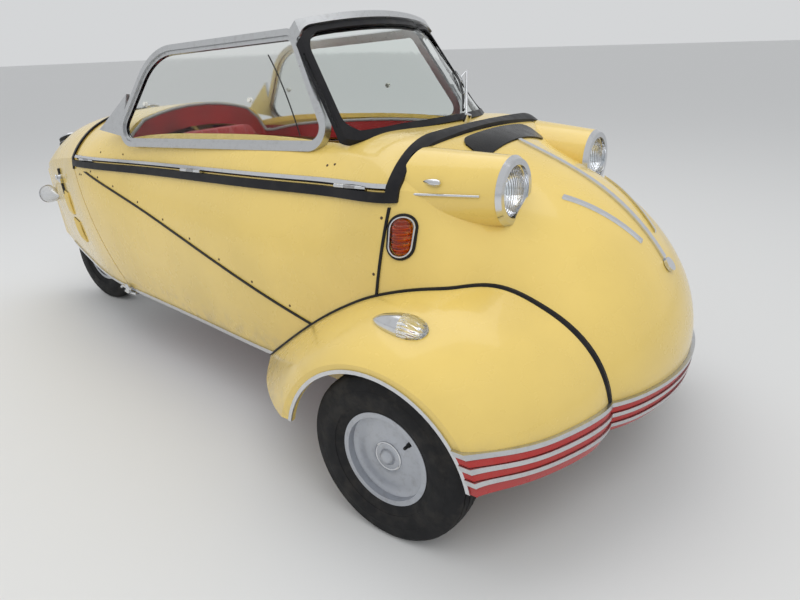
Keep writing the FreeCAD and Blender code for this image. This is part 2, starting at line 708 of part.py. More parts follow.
frame_holes.Links = [rod("axle_hole", (s.front_axle_x, -60, s.tube_z), "y", AXLE_TUBE + s.seat_gap, 120),
                     rod("tow_hole", (s.front_axle_x + s.tow_reach + 28, 0, s.tube_z - 60), "z", s.tow_radius, 60)]
chassis = doc.addObject("Part::Cut", "chassis_solid")
chassis.Base = frame_solid
chassis.Tool = frame_holes
keep("chassis_frame", chassis)

cross_tube = rod("cross_tube", (s.front_axle_x, -260, s.tube_z), "y", AXLE_TUBE, 520)
arms = []
for i, sign in enumerate((-1, 1)):
    inner_y = 255
    arm_length = s.king_pin_y - inner_y - 8
    base_y = inner_y * sign if sign > 0 else -(s.king_pin_y - 8)
    arms.append(rod("arm_%d" % i, (s.front_axle_x, base_y, s.tyre_radius), "y", 14, arm_length))
    arms.append(rod("pin_eye_%d" % i, (s.front_axle_x, sign * s.king_pin_y, s.tyre_radius - 20), "z", 14, 40))
arm_body = doc.addObject("Part::MultiFuse", "axle_solid")
arm_body.Shapes = [cross_tube] + arms
eye_holes = doc.addObject("Part::Compound", "eye_holes")
eye_holes.Links = [rod("eye_hole_%d" % i, (s.front_axle_x, sign * s.king_pin_y, s.tyre_radius - 40), "z",
                       8 + s.running_gap, 80) for i, sign in enumerate((-1, 1))]
front_axle = doc.addObject("Part::Cut", "front_axle")
front_axle.Base = arm_body
front_axle.Tool = eye_holes
keep("front_axle", front_axle)

# Knuckles: ears above and below the eye, king pin and stub axle
for side, sign in (("right", -1), ("left", 1)):
    pin_y = sign * s.king_pin_y
    ears = [rod("ear_%s_%d" % (side, i), (s.front_axle_x, pin_y, s.tyre_radius + dz), "z", 14, 12)
            for i, dz in enumerate((-34, 22))]
    pin = rod("king_pin_%s" % side, (s.front_axle_x, pin_y, s.tyre_radius - 40), "z", 8, 80)
    plate_y = 16 if sign > 0 else -26
    plate = block("plate_%s" % side, (s.front_axle_x - 20, pin_y + plate_y, s.tyre_radius - 34), (40, 10, 68))
    links = [block("ear_link_%s_%d" % (side, i), (s.front_axle_x - 10, pin_y + (0 if sign > 0 else -18),
                                                  s.tyre_radius + dz), (20, 18, 12))
             for i, dz in enumerate((-34, 22))]
    stub_start = pin_y + sign * 24
    stub = rod("stub_%s" % side, (s.front_axle_x, stub_start if sign > 0 else stub_start - 68, s.tyre_radius),
               "y", s.axle_radius, 68)
    steer_arm = block("steer_arm_%s" % side, (s.front_axle_x - 110, pin_y - 8, s.tyre_radius - 34), (110, 16, 10))
    fused("knuckle_%s" % side, ears + [pin, plate, stub, steer_arm] + links)

# Wheels and tyres, turned about the axle: distance outwards from the rim's inner edge, radius
rim_radius = s.bead_radius - s.rim_wall
WELL = 14      # depth of the rim's well
wheel_profile = [
    (0 * s.rim_width, s.bead_radius + s.rim_lip), (s.rim_wall, s.bead_radius + s.rim_lip),
    (s.rim_wall, s.bead_radius), (18, s.bead_radius), (24, s.bead_radius - WELL),
    (s.rim_width - 26, s.bead_radius - WELL), (s.rim_width - 20, s.bead_radius),
    (s.rim_width - s.rim_wall, s.bead_radius), (s.rim_width - s.rim_wall, s.bead_radius + s.rim_lip),
    (1 * s.rim_width, s.bead_radius + s.rim_lip), (1 * s.rim_width, rim_radius),
    (s.rim_width - 18, rim_radius), (s.rim_width - s.disc_dish - 3, rim_radius - 12),
    (s.rim_width - s.disc_dish, s.hub_radius + 10), (s.rim_width - s.disc_dish + 6, s.hub_radius),
    (s.rim_width - s.disc_dish + 6, s.hub_cap_radius + 3), (s.rim_width - 8, s.hub_cap_radius),
    (s.rim_width - 2, s.hub_cap_radius - 6), (1 * s.rim_width, Size(0, "0")),
    (s.rim_width - s.disc_dish, Size(0, "0")), (s.rim_width - s.disc_dish, s.axle_radius + s.running_gap),
    (s.rim_width - s.disc_dish - s.hub_length + 6, s.axle_radius + s.running_gap),
    (s.rim_width - s.disc_dish - s.hub_length + 6, s.hub_radius - 6), (s.rim_width - s.disc_dish - 12, s.hub_radius - 2),
    (s.rim_width - s.disc_dish - 4, s.hub_radius + 8), (s.rim_width - s.disc_dish - 7, rim_radius - WELL - 3),
    (s.rim_width - 26, rim_radius - WELL), (22, rim_radius - WELL), (16, rim_radius), (0 * s.rim_width, rim_radius),
]
half_tread = s.tread_width / 2
middle = s.tyre_width / 2
half_bead = s.rim_width / 2 - s.rim_wall - s.bead_gap
bead = s.bead_radius + s.bead_gap
tyre_half = [(half_bead, bead), (half_bead, bead + s.rim_lip + 1), (middle - 3, bead + 24), (middle, bead + 44),
             (middle - 2, bead + 68), (half_tread + 5, s.tyre_radius - 7), (half_tread - 6, s.tyre_radius - 2)]
tyre_profile = [(middle + a, r) for a, r in tyre_half] + [(middle + 0.0, s.tyre_radius)] + \
               [(middle - a, r) for a, r in reversed(tyre_half)]
RIGHT = Rotation(Vector(0, 0, 1), -90)
LEFT = Rotation(Vector(0, 0, 1), 90)
for side, axle_x, wheel_y, sign, turn in (("right", s.front_axle_x, s.wheel_y, -1, RIGHT),
                                          ("left", s.front_axle_x, s.wheel_y, 1, LEFT),
                                          ("rear", s.rear_axle_x, 0 * s.wheel_y, 1, LEFT)):
    turned("wheel_" + side, wheel_profile, (axle_x, sign * (wheel_y - s.rim_width / 2), s.tyre_radius), turn)
    turned("tyre_" + side, tyre_profile, (axle_x, sign * (wheel_y - s.tyre_width / 2), s.tyre_radius), turn)

# Rear swing arm on the right of the wheel, and the engine block
ARM_Y = 66
swing = [rod("swing_pivot", (s.rear_axle_x + 235, -RAIL_Y + 15 + s.seat_gap, s.tube_z), "y", 16,
             2 * (RAIL_Y - 15 - s.seat_gap)),
         block("swing_blade", (s.rear_axle_x - 20, -ARM_Y - 12, s.tube_z - 14), (262, 12, 34)),
         rod("rear_stub", (s.rear_axle_x, -ARM_Y - 24, s.tyre_radius), "y", s.axle_radius, ARM_Y + 39)]
fused("swing_arm", swing)
engine = block("engine_solid", (s.rear_axle_x + 266, -98, s.tube_z + 18 + s.seat_gap), (142, 196, 320))
grouped("engine_block", [engine])

# Rubber bands and seals
band_rear = s.tail_seam_x + 1
band_front = s.seam_rise_x - 12
band_region = prism([(x, belt_z(x) - s.band_top - drop) for x, drop in
                     ((band_rear, s.band_height), (band_rear, 0), (band_front, 0), (band_front, s.band_height))])
belt_band = laid_on(band_region, s.band_depth)
COWL_WIDTH = 34
cowl_x = s.seam_rise_x - 10
cowl_region = prism([(cowl_x - 2, belt_z(cowl_x) - 26), (cowl_x, HIGH), (cowl_x + COWL_WIDTH, HIGH),
                     (cowl_x + COWL_WIDTH, belt_z(cowl_x) - 26)])
cowl_seal = laid_on(cowl_region, s.cowl_seal_depth)
cowl_seal = cowl_seal.cut(belt_band).cut(nose_shell)
shape_node("body_seals", solids(belt_band, cowl_seal))
tail_seal = laid_on(prism([(s.tail_seam_x - s.panel_gap - 14, belt_z(s.tail_seam_x) - 40), (s.tail_seam_x - s.panel_gap - 14, HIGH),
                           (s.tail_seam_x - s.panel_gap + 3, HIGH), (s.tail_seam_x - s.panel_gap + 3, belt_z(s.tail_seam_x) - 4),
                           (s.tail_seam_x - s.panel_gap - 6, belt_z(s.tail_seam_x) - 40)]), s.trim_depth + 1)
shape_node("tail_seal", solids(tail_seal))

# Piping where fender and hull meet, along the slanting seam and down the front seam
strips_top = s.strip_z + 2 * s.strip_pitch + s.strip_width
left_piping = hull(-s.trim_depth).common(fender(-s.trim_depth)).common(
    box(0, 240, s.fender_foot_z, 900, HALF, HIGH).fuse(box(890, 240, strips_top + 0.5, 1500, HALF, HIGH)))
left_piping = left_piping.cut(hull(-s.seat_gap).fuse(fender(-s.seat_gap)))
seam_strip = prism([(-640, side_seam(-640) - 3), (-640, side_seam(-640) + 3),
                    (620, side_seam(620) + 3), (620, side_seam(620) - 3)])
front_strip = prism([(seam_front(z) + dx, z) for z, dx in ((420, -3), (720, -3), (720, 3), (420, 3))])
fender_cover = pair(fender(-s.trim_depth))
seam_piping = laid_on(seam_strip, s.trim_depth - 1).cut(fender_cover).cut(belt_band)
front_piping = laid_on(front_strip, s.trim_depth - 1).cut(fender_cover).cut(belt_band).cut(cowl_seal)
front_piping = front_piping.cut(seam_piping).cut(nose_shell)
shape_node("piping", solids(pair(solids(left_piping)), seam_piping, front_piping))

# Bumper strips run round nose and fenders
ARCH_TRIM = 9      # width of the bright ring round the wheel arches


def round_the_front(z0, z1, depth):
    zone = box(900, 0, z0, 1500, HALF, z1)
    strip = zone.common(hull(-depth).fuse(fender(-depth)))
    strip = strip.cut(hull(-s.seat_gap)).cut(fender(-s.seat_gap)).cut(arch(ARCH_TRIM + s.seat_gap))
    whole = strip.fuse(mirrored(strip)).removeSplitter()
    return solids(whole)


strips = [round_the_front(s.strip_z + i * s.strip_pitch, s.strip_z + i * s.strip_pitch + s.strip_width, 9)
          for i in range(3)]
shape_node("bumper_strips", solids(*strips))
bands = [round_the_front(s.strip_z + i * s.strip_pitch + s.strip_width + 1,
                         s.strip_z + (i + 1) * s.strip_pitch - 1, 5) for i in range(2)]
shape_node("bumper_bands", solids(*bands))


# Bright trim: sills, belt, wheel arches, pod sides and nose strips
sill_static = laid_on(prism([(s.tail_foot_x + 2, s.sill_z + 4), (s.tail_foot_x + 2, s.sill_z + 18),
                             (420, s.sill_z + 18), (420, s.sill_z + 4)]), s.trim_depth)
arch_ring = arch(ARCH_TRIM).cut(arch(0)).common(box(0, FENDER[-1][0] - 14, s.fender_foot_z + 1, 1500, FENDER[-1][0] + 4, HIGH))
arch_ring = arch_ring.cut(fender(-s.seat_gap))


def pod_side(x, out):
    """Point on the outer side of the left pod at x, this far out."""
    share = (x - s.pod_root_x) / (s.lamp_x - s.pod_root_x)
    radius = s.pod_root_radius + share * (s.pod_radius - s.pod_root_radius)
    centre_y = s.pod_root_y + share * (s.lamp_y - s.pod_root_y)
    return centre_y + radius + out


strip_rear = 892
strip_front = s.lamp_x - 22
pod_strip = Part.makeCylinder(3, strip_front - strip_rear,
                              Vector(strip_rear, pod_side(strip_rear, 2.5), s.lamp_z + 2),
                              Vector(strip_front - strip_rear, pod_side(strip_front, 0) - pod_side(strip_rear, 0), 0))
NOSE_STRIPS = [(962, 0, 1340, 0, 9), (1140, 130, 1300, 50, 5)]     # rear x, rear y, front x, front y, half width


def nose_strip(rear_x, rear_y, front_x, front_y, half_width):
    ring = [Vector(rear_x, rear_y - half_width, 0), Vector(front_x, front_y - half_width, 0),
            Vector(front_x, front_y + half_width, 0), Vector(rear_x, rear_y + half_width, 0)]
    column = Part.Face(Part.makePolygon(ring + [ring[0]])).extrude(Vector(0, 0, HIGH))
    return laid_on(column.common(box(900, -HALF, s.strip_foot_z, 1500, HALF, HIGH)), s.trim_depth)


middle_strip = nose_strip(*NOSE_STRIPS[0])
side_strip = nose_strip(*NOSE_STRIPS[1])
badge_x = s.nose_pivot_x + nose_reach(33) * math.cos(math.radians(33)) + 1
badge_z = s.nose_pivot_z + nose_reach(33) * math.sin(math.radians(33)) + 1
badge = Part.makeCylinder(17, 8, Vector(badge_x, 0, badge_z), Vector(0.8, 0, 0.6))
badge = badge.cut(hull(-s.seat_gap)).cut(middle_strip)
sill_static = sill_static.cut(fender_cover)
pod_strip = pod_strip.cut(nose_shell)
shape_node("bright_trim", solids(sill_static, pair(solids(arch_ring)), pair(solids(pod_strip)), middle_strip,
                                 pair(side_strip), badge))

# Bright strip along the lower edge of the canopy
strip_region = prism([(x, belt_z(x) + s.panel_gap / 2 + rise) for x, rise in
                      ((canopy_rear, 0), (canopy_rear, s.belt_strip), (canopy_front, s.belt_strip),
                       (canopy_front, 0))])
belt_strip = laid_on(strip_region, s.trim_depth + 1).cut(pockets)
shape_node("belt_trim", solids(belt_strip))

# Blank front plate on the cowl
plate_outline = [Vector(x, y, 0) for x, y in ((905, -150), (940, -150), (968, 0), (940, 150), (905, 150))]
plate_column = Part.Face(Part.makePolygon(plate_outline + [plate_outline[0]])).extrude(Vector(0, 0, HIGH))
plate = plate_column.common(box(800, -HALF, 700, 1100, HALF, HIGH)).common(hull(-4)).cut(hull(-s.seat_gap))
shape_node("front_plate", solids(plate.cut(middle_strip)))

# Headlamps: rim ring and domed glass
rim_front = s.lamp_x + 12
rim_rear = rim_front - s.lamp_rim_depth
glass_radius = s.pod_radius - s.lamp_rim
glass_bore = Part.makeCylinder(glass_radius, 60, Vector(rim_rear - 10, s.lamp_y, s.lamp_z), Vector(1, 0, 0))
lamp_rim = Part.makeCone(s.pod_radius + 1, s.pod_radius - 6, rim_front - s.lamp_x - s.seat_gap,
                         Vector(s.lamp_x + s.seat_gap, s.lamp_y, s.lamp_z), Vector(1, 0, 0)).cut(glass_bore)
lamp_rim = lamp_rim.cut(nose_shell)
# teardrop side lamps on the fenders
TEAR = [(-78, 4), (-28, 25), (24, 29), (54, 16)]       # along x from the lamp's middle, half width


def teardrop(x0, x1, grow, height):
    """Half body of the side lamp between two stations, lying on the fender."""
    profile = [Vector(x, w + grow, 0) for x, w in TEAR]
    curve = Part.BSplineCurve()
    curve.interpolate([Vector(TEAR[0][0] - 4, 0, 0)] + profile + [Vector(TEAR[-1][0] + 8, 0, 0)])
    edge = curve.toShape()
    base = Part.LineSegment(Vector(TEAR[-1][0] + 8, 0, 0), Vector(TEAR[0][0] - 4, 0, 0)).toShape()
    body = Part.Face(Part.Wire([edge, base])).revolve(Vector(0, 0, 0), Vector(1, 0, 0), 180)
    return body


SIDE_LAMP = (972, 520, 506)      # point on the fender under the lamp
tear = teardrop(0, 0, 0, 0)
tear.Placement = Placement(Vector(*SIDE_LAMP), Rotation(Vector(1, 0, 0), -32))
tear = tear.cut(fender(-s.seat_gap))
tear_rear = tear.common(box(0, 0, 0, SIDE_LAMP[0] + 2, HALF, HIGH))
tear_front = tear.common(box(SIDE_LAMP[0] + 2 + s.seat_gap, 0, 0, 1500, HALF, HIGH))
shape_node("lamp_rims", solids(pair(solids(lamp_rim)), pair(solids(tear_rear))))
dome_radius = (glass_radius ** 2 + s.lens_rise ** 2) / (2 * s.lens_rise)
glass = Part.makeCylinder(glass_radius - s.seat_gap, 60, Vector(s.lamp_x - 20, s.lamp_y, s.lamp_z), Vector(1, 0, 0))
glass = glass.common(Part.makeSphere(dome_radius, Vector(rim_front + 4 - dome_radius, s.lamp_y, s.lamp_z)))
glass = glass.cut(Part.makeSphere(dome_radius - 6, Vector(rim_front + 4 - dome_radius, s.lamp_y, s.lamp_z)))
shape_node("lamp_lenses", solids(pair(solids(glass)), pair(solids(tear_front))))

# Amber indicators on the nose sides, just ahead of the seam
IND_X = 888
ind_foot = Vector(IND_X, 404, s.indicator_z)
ind_head = ind_foot + Vector(0, -0.12, 1) * s.indicator_rise
ind = cylinder(s.indicator_radius, ind_foot, ind_head)
ind = ind.fuse([Part.makeSphere(s.indicator_radius, end) for end in (ind_foot, ind_head)])
ind = ind.cut(hull(-s.seat_gap))
shape_node("indicators", pair(solids(ind)))

# Windscreen, cut from one curved slab
up = unit(s.screen_top_x - s.screen_base_x, s.screen_top_z - s.screen_base_z)
screen_normal = Vector(up[1], 0, -up[0])
screen_up = Vector(up[0], 0, up[1])
base_mid = Vector(s.screen_base_x, 0, s.screen_base_z)
top_mid = Vector(s.screen_top_x, 0, s.screen_top_z)
base_side = Vector(s.screen_base_side_x, s.screen_base_side_y, s.screen_base_side_z)
top_side = Vector(s.screen_top_side_x, s.screen_top_side_y, s.screen_top_side_z)
STRETCH = 0.16      # how far the slab runs past the glass, as a share of its height


def flipped(point):
    return Vector(point.x, -point.y, point.z)


def screen_slab(out, back):
    """Curved slab from out in front of the glass's outer face to back behind it."""
    low_mid = base_mid - (top_mid - base_mid) * STRETCH
    low_side = base_side - (top_side - base_side) * STRETCH
    high_mid = top_mid + (top_mid - base_mid) * STRETCH
    high_side = top_side + (top_side - base_side) * STRETCH
    wires = []
    for mid, side in ((low_mid, low_side), (high_mid, high_side)):
        forward = Vector(mid.x - side.x, 0, mid.z - side.z).normalize()
        lean = forward.dot(screen_normal)
        curves = []
        for offset in (out, -back):
            shift = forward * (offset / lean)
            curves.append(Part.Arc(side + shift, mid + shift, flipped(side) + shift))
        ends = [Part.LineSegment(flipped(side) + forward * (out / lean), flipped(side) - forward * (back / lean)),
                Part.LineSegment(side - forward * (back / lean), side + forward * (out / lean))]
        wires.append(Part.Wire(Part.sortEdges([curve.toShape() for curve in curves + ends])[0]))
    return Part.makeLoft(wires, True, True)


def screen_window(grow, radius, z_shift=0):
    """Prism through the screen along its normal, grown past the glass's outline."""
    def flat(point, dy, dv):
        v = (point - base_mid).dot(screen_up) + dv
        return Vector(0, point.y + dy, 0) + base_mid + screen_up * v - screen_normal * 200

    low_r = flat(base_side, grow, -grow)
    high_r = flat(top_side, grow, grow)
    low = Part.Arc(flipped(low_r), flat(base_mid, 0, -grow), low_r).toShape()
    high = Part.Arc(high_r, flat(top_mid, 0, grow), flipped(high_r)).toShape()
    wire = Part.Wire([low, Part.LineSegment(low_r, high_r).toShape(), high,
                      Part.LineSegment(flipped(high_r), flipped(low_r)).toShape()])
    solid = Part.Face(wire).extrude(screen_normal * 400)
    edges = [edge for edge in solid.Edges if len(edge.Vertexes) == 2 and
             abs(abs((edge.Vertexes[1].Point - edge.Vertexes[0].Point).normalize().dot(screen_normal)) - 1) < 1e-6
             and edge.Length > 399]
    return solid.makeFillet(radius, edges)


RUBBER_OVER = 11      # rubber outside the glass's edge
glass_hull_cut = hull(-s.seat_gap)
screen_seal = screen_slab((s.seal_depth - s.screen_thickness) / 2, (s.seal_depth + s.screen_thickness) / 2)
screen_seal = screen_seal.common(screen_window(RUBBER_OVER, 62)).cut(screen_window(RUBBER_OVER - s.seal_width, 44))
glass_zone = screen_window(0, 54)
glass_slab = screen_slab(0, s.screen_thickness)
groove = screen_slab(s.seat_gap, s.screen_thickness + s.seat_gap).common(screen_window(s.seat_gap, 54))
screen_seal = screen_seal.cut(groove).cut(glass_hull_cut)
shape_node("screen_seal", solids(screen_seal))
shape_node("screen_glass", solids(glass_slab.common(glass_zone).cut(glass_hull_cut)))

# Header bar over the screen
header_low = RUBBER_OVER + s.seat_gap
header = screen_slab(14, 20).common(screen_window(header_low + s.header_height, 50))
header_under = screen_window(header_low, 50)
header = header.cut(header_under)
band_v = (top_side - base_mid).dot(screen_up) - 26
header_keep = Part.makeBox(900, 2 * HALF, 400, Vector(-300, -HALF, 0))
header_keep.Placement = Placement(base_mid + screen_up * band_v,
                                  Rotation(Vector(0, 1, 0), -math.degrees(math.atan2(-up[0], up[1]))))
header = header.common(header_keep)
shape_node("header_bar", solids(header))

# Side windows: frame, pane and outer rail, drawn upright and then leant inwards
lean = math.cos(math.radians(s.window_lean))
WINDOW = [(618, 826, 40), (462, 1078, 28), (-118, 1047, 180), (-292, 788, 42)]     # x, z, corner radius


def window_solid(grow, y0, y1):
    """Prism of the window's outline, grown outwards, between two depths in its plane."""
    wire = rounded([(x, (z - s.window_foot_z) / lean) for x, z, r in WINDOW], [r for x, z, r in WINDOW])
    if grow:
        wire = wire.makeOffset2D(grow)
    face = Part.Face(wire)
    solid = face.extrude(Vector(0, y1 - y0, 0))
    solid.translate(Vector(0, y0, 0))
    return solid


def leant(solid):
    solid = solid.copy()
    solid.Placement = Placement(Vector(0, s.window_foot_y, s.window_foot_z),
                                Rotation(Vector(1, 0, 0), s.window_lean)).multiply(solid.Placement)
    return solid


frame_solid = window_solid(0, 0, s.frame_depth).cut(window_solid(-s.frame_width, 0, s.frame_depth))
pane_zone = window_solid(-s.frame_width + 7, s.frame_depth / 2 - s.pane_thickness / 2,
                         s.frame_depth / 2 + s.pane_thickness / 2)
groove = window_solid(-s.frame_width + 7 + s.seat_gap, s.frame_depth / 2 - s.pane_thickness / 2 - s.seat_gap,
                      s.frame_depth / 2 + s.pane_thickness / 2 + s.seat_gap)
frame_left = leant(frame_solid.cut(groove)).cut(glass_hull_cut)
pane_left = leant(pane_zone).cut(glass_hull_cut)
shape_node("window_frames", pair(solids(frame_left)))
shape_node("side_panes", pair(solids(pane_left)))
rail = window_solid(s.seat_gap + s.rail_width, -4, s.frame_depth + 6).cut(window_solid(s.seat_gap, -4, s.frame_depth + 6))
gusset = solid_xz([(-270, 20), (-400, 34), (-352, 70), (-250, 150)], 0, s.frame_depth).cut(
    window_solid(s.seat_gap, -4, s.frame_depth + 6))
rail = rail.fuse(gusset)
rail_left = leant(rail).cut(glass_hull_cut).cut(screen_slab(12, 26).common(screen_window(RUBBER_OVER + s.seat_gap, 62)))
rail_left = rail_left.cut(header)
shape_node("canopy_rails", pair(solids(rail_left)))

# Wiper lying over the screen
wiper_pivot = Vector(s.screen_base_x + 22, 0, s.screen_base_z + 0)
wiper_boss = Part.makeCylinder(9, 34, wiper_pivot - Vector(0, 0, 22), Vector(0.3, 0, 1)).cut(hull(-s.seat_gap))
wiper_tip = Vector(672, 226, 972)
wiper_arm = Part.makeCylinder(3.2, (wiper_tip - wiper_pivot - Vector(4, 0, 8)).Length, wiper_pivot + Vector(4, 0, 8),
                              wiper_tip - wiper_pivot - Vector(4, 0, 8))
shape_node("wiper", solids(wiper_boss.fuse(wiper_arm)))

# Cabin fittings: dashboard on two brackets that reach the body sides
dash_zone = box(716, -HALF, 690, 728, HALF, belt_z(720) + 60)
below_belt = box(716, -HALF, 690, 728, HALF, belt_z(720) - 8)
dash = inside(dash_zone, 9).fuse(inside(below_belt, 2 * s.seat_gap))
shape_node("dashboard", solids(dash))
column_top = Vector(560, 0, 690)
column_run = Vector(440, 0, -430).normalize()
column = Part.makeCylinder(14, 640, column_top + column_run * 22, column_run)
column = column.fuse(Part.makeCylinder(8, 60, column_top - column_run * 14, column_run))
column = column.common(box(0, -100, floor_top + s.seat_gap, 1150, 100, HIGH))
column_hanger = box(716, -12, column_top.z - 0.98 * (716 - column_top.x) - 4, 728, 12, 690 - s.seat_gap)
shape_node("steering_column", solids(column.fuse(column_hanger)))

hub = Part.makeCylinder(17, 32, column_top - column_run * 14, column_run)
bar_z = column_top.z + 4
bar_parts = [hub]
for sign in (-1, 1):
    elbow = Vector(552, sign * 70, bar_z + 8)
    grip = Vector(500, sign * 215, bar_z + 14)
    root = Vector(column_top.x - 4, 0, bar_z)
    bar_parts += [cylinder(10, root, elbow), Part.makeSphere(10, elbow), cylinder(10, elbow, grip),
                  cylinder(14, elbow + (grip - elbow) * 0.35, grip)]
steering_bar = bar_parts[0].fuse(bar_parts[1:])
steering_bar = steering_bar.cut(Part.makeCylinder(8 + s.running_gap, 80, column_top - column_run * 30, column_run))
shape_node("steering_bar", solids(steering_bar))


def cushion(name, base, lengths, radius, pitch=0):
    """Body padded up from a rectangle, all edges rounded."""
    body = doc.addObject("PartDesign::Body", name)
    sketch = body.newObject("Sketcher::SketchObject", name + "_outline")
    plane = [item for item in body.Origin.OriginFeatures if item.Role == "XY_Plane"][0]
    sketch.AttachmentSupport = (plane, [""])
    sketch.MapMode = "FlatFace"
    corners = [Vector(x, y, 0) for x, y in ((0, 0), (lengths[0], 0), (lengths[0], lengths[1]), (0, lengths[1]))]
    for i in range(4):
        sketch.addGeometry(Part.LineSegment(corners[i], corners[(i + 1) % 4]), False)
    for i in range(4):
        sketch.addConstraint(Sketcher.Constraint("Coincident", i, 2, (i + 1) % 4, 1))
        sketch.addConstraint(Sketcher.Constraint("Vertical" if i % 2 else "Horizontal", i))
    sketch.addConstraint(Sketcher.Constraint("Coincident", 0, 1, -1, 1))
    sketch.addConstraint(Sketcher.Constraint("DistanceX", 0, 1, 0, 2, float(lengths[0])))
    sketch.addConstraint(Sketcher.Constraint("DistanceY", 1, 1, 1, 2, float(lengths[1])))
    pad = body.newObject("PartDesign::Pad", name + "_pad")
    pad.Profile = sketch
    pad.Length = float(lengths[2])
    doc.recompute()
    rounding = body.newObject("PartDesign::Fillet", name + "_rounding")
    rounding.Base = (pad, ["Edge%d" % (i + 1) for i in range(len(pad.Shape.Edges))])
    rounding.Radius = radius
    place(body, base, Rotation(Vector(0, 1, 0), pitch))
    return body


SEAT_Z = 340
seat = [cushion("seat_cushion", (-120, -210, SEAT_Z), (430, 420, 110), 32),
        cushion("seat_back", (-210, -210, SEAT_Z + 110), (90, 420, 360), 32, -10)]
grouped("front_seat", seat)
bench_back_x = bulk_x + BULKHEAD + s.seat_gap
bench = [cushion("bench_cushion", (-560, -230, SEAT_Z - 20), (300, 460, 110), 32),
         cushion("bench_back", (float(bench_back_x), -230, SEAT_Z + 92), (80, 460, 330), 32)]
grouped("rear_bench", bench)
posts = [block("seat_post_%d%d" % (i, j), (x, y - 10, floor_top), (30, 20, SEAT_Z - floor_top - s.seat_gap))
         for i, x in enumerate((-60, 250)) for j, y in enumerate((-150, 150))]
runners = [block("seat_runner_%d" % j, (-110, y - 14, SEAT_Z - 24), (400, 28, 24 - s.seat_gap)) for j, y in enumerate((-150, 150))]
ties = [block("seat_tie_%d" % i, (x, -150, SEAT_Z - 20), (20, 300, 14)) for i, x in enumerate((-60, 250))]
bench_box = [block("bench_box", (-556, -200, floor_top), (280, 400, SEAT_Z - 20 - s.seat_gap - floor_top))]
back_posts = []
for j, y in enumerate((-150, 150)):
    stay = block("back_stay_%d" % j, (-232, y - 8, SEAT_Z + 60), (14, 16, 260))
    stay.Placement = Placement(Vector(-210, y - 8, SEAT_Z + 110), Rotation(Vector(0, 1, 0), -10)).multiply(
        Placement(Vector(-14 - s.seat_gap, 0, -40), Rotation()))
    back_posts.append(stay)
    back_posts.append(block("back_foot_%d" % j, (-222, y - 8, SEAT_Z - 24), (130, 16, 23.7)))
    back_posts.append(block("back_riser_%d" % j, (-222, y - 8, SEAT_Z - 24), (14, 16, 110)))
fused("seat_frame", posts + runners + ties + back_posts)
grouped("bench_base", bench_box)

# Tail fittings
ridge_normal = Vector(-0.388, 0, 0.922)
cap_seat = Vector(-1222, 0, 694)
cap = Part.makeCylinder(40, 26, cap_seat + ridge_normal * 6, ridge_normal)
cap_ring = Part.makeCylinder(46, 20, cap_seat - ridge_normal * 14, ridge_normal).cut(hull(-s.seat_gap))
cap = cap.makeFillet(6, [edge for edge in cap.Edges if edge.CenterOfMass.sub(cap_seat).dot(ridge_normal) > 30][:1])
LATCH = (-960, 587)
latch = box(LATCH[0] - 30, -260, LATCH[1] - 9, LATCH[0] + 30, 0, LATCH[1] + 9).common(hull(-12)).cut(hull(-s.seat_gap))
tail_sill = laid_on(prism([(-1250, s.sill_z + 4), (-1250, s.sill_z + 18), (s.tail_foot_x - 10, s.sill_z + 18),
                           (s.tail_foot_x - 10, s.sill_z + 4)]), s.trim_depth)
cap = cap.cut(hull(-s.seat_gap)).cut(cap_ring)
shape_node("tail_fittings", solids(cap, cap_ring, latch, tail_sill))

LAMP = (-1270, 115, 478)
lamp_profile = [Vector(LAMP[0] + 72, 0, 0), Vector(LAMP[0] + 30, 26, 0), Vector(LAMP[0] - 10, 36, 0),
                Vector(LAMP[0] - 34, 36, 0), Vector(LAMP[0] - 44, 26, 0), Vector(LAMP[0] - 48, 0, 0)]
bullet = Part.Face(Part.makePolygon(lamp_profile + [lamp_profile[0]])).revolve(Vector(0, 0, 0), Vector(1, 0, 0), 360)
bullet.translate(Vector(0, LAMP[1], LAMP[2]))
bullet = bullet.cut(hull(-s.seat_gap))
shape_node("rear_lamps", pair(solids(bullet)))

# Canopy hinge along the right belt line
across = Vector(0, 0, 1).cross(pin_run).normalize()
hinge_turn = Rotation(pin_run, across, pin_run.cross(across), "XYZ")
KNUCKLE = 17.5
still = []
moving = []
bore = Part.makeCylinder(s.hinge_pin_radius + s.running_gap, 200, Vector(-100, 0, 0), Vector(1, 0, 0))
for spot_point in hinge_spots:
    spot = Placement(spot_point, hinge_turn)
    fixed = Part.makeCylinder(s.hinge_pin_radius, 2 * HINGE_HALF, Vector(-HINGE_HALF, 0, 0), Vector(1, 0, 0))
    for x0 in (-HINGE_HALF, KNUCKLE + 0.5):
        barrel = Part.makeCylinder(s.hinge_radius, HINGE_HALF - KNUCKLE - 0.5, Vector(x0, 0, 0), Vector(1, 0, 0))
        leaf = box(x0, 0, -2.7, x0 + HINGE_HALF - KNUCKLE - 0.5, 17, -0.7)
        fixed = fixed.fuse([barrel, leaf])
    swing_leaf = Part.makeCylinder(s.hinge_radius, 2 * KNUCKLE, Vector(-KNUCKLE, 0, 0), Vector(1, 0, 0))
    swing_leaf = swing_leaf.fuse(box(-KNUCKLE, 0, 0.7, KNUCKLE, 17, 2.7)).cut(bore)
    fixed.Placement = spot
    swing_leaf.Placement = spot
    still.append(fixed.cut(upper_sides))
    moving.append(swing_leaf.cut(canopy_shell).cut(belt_strip))
shape_node("canopy_hinge", solids(*moving))

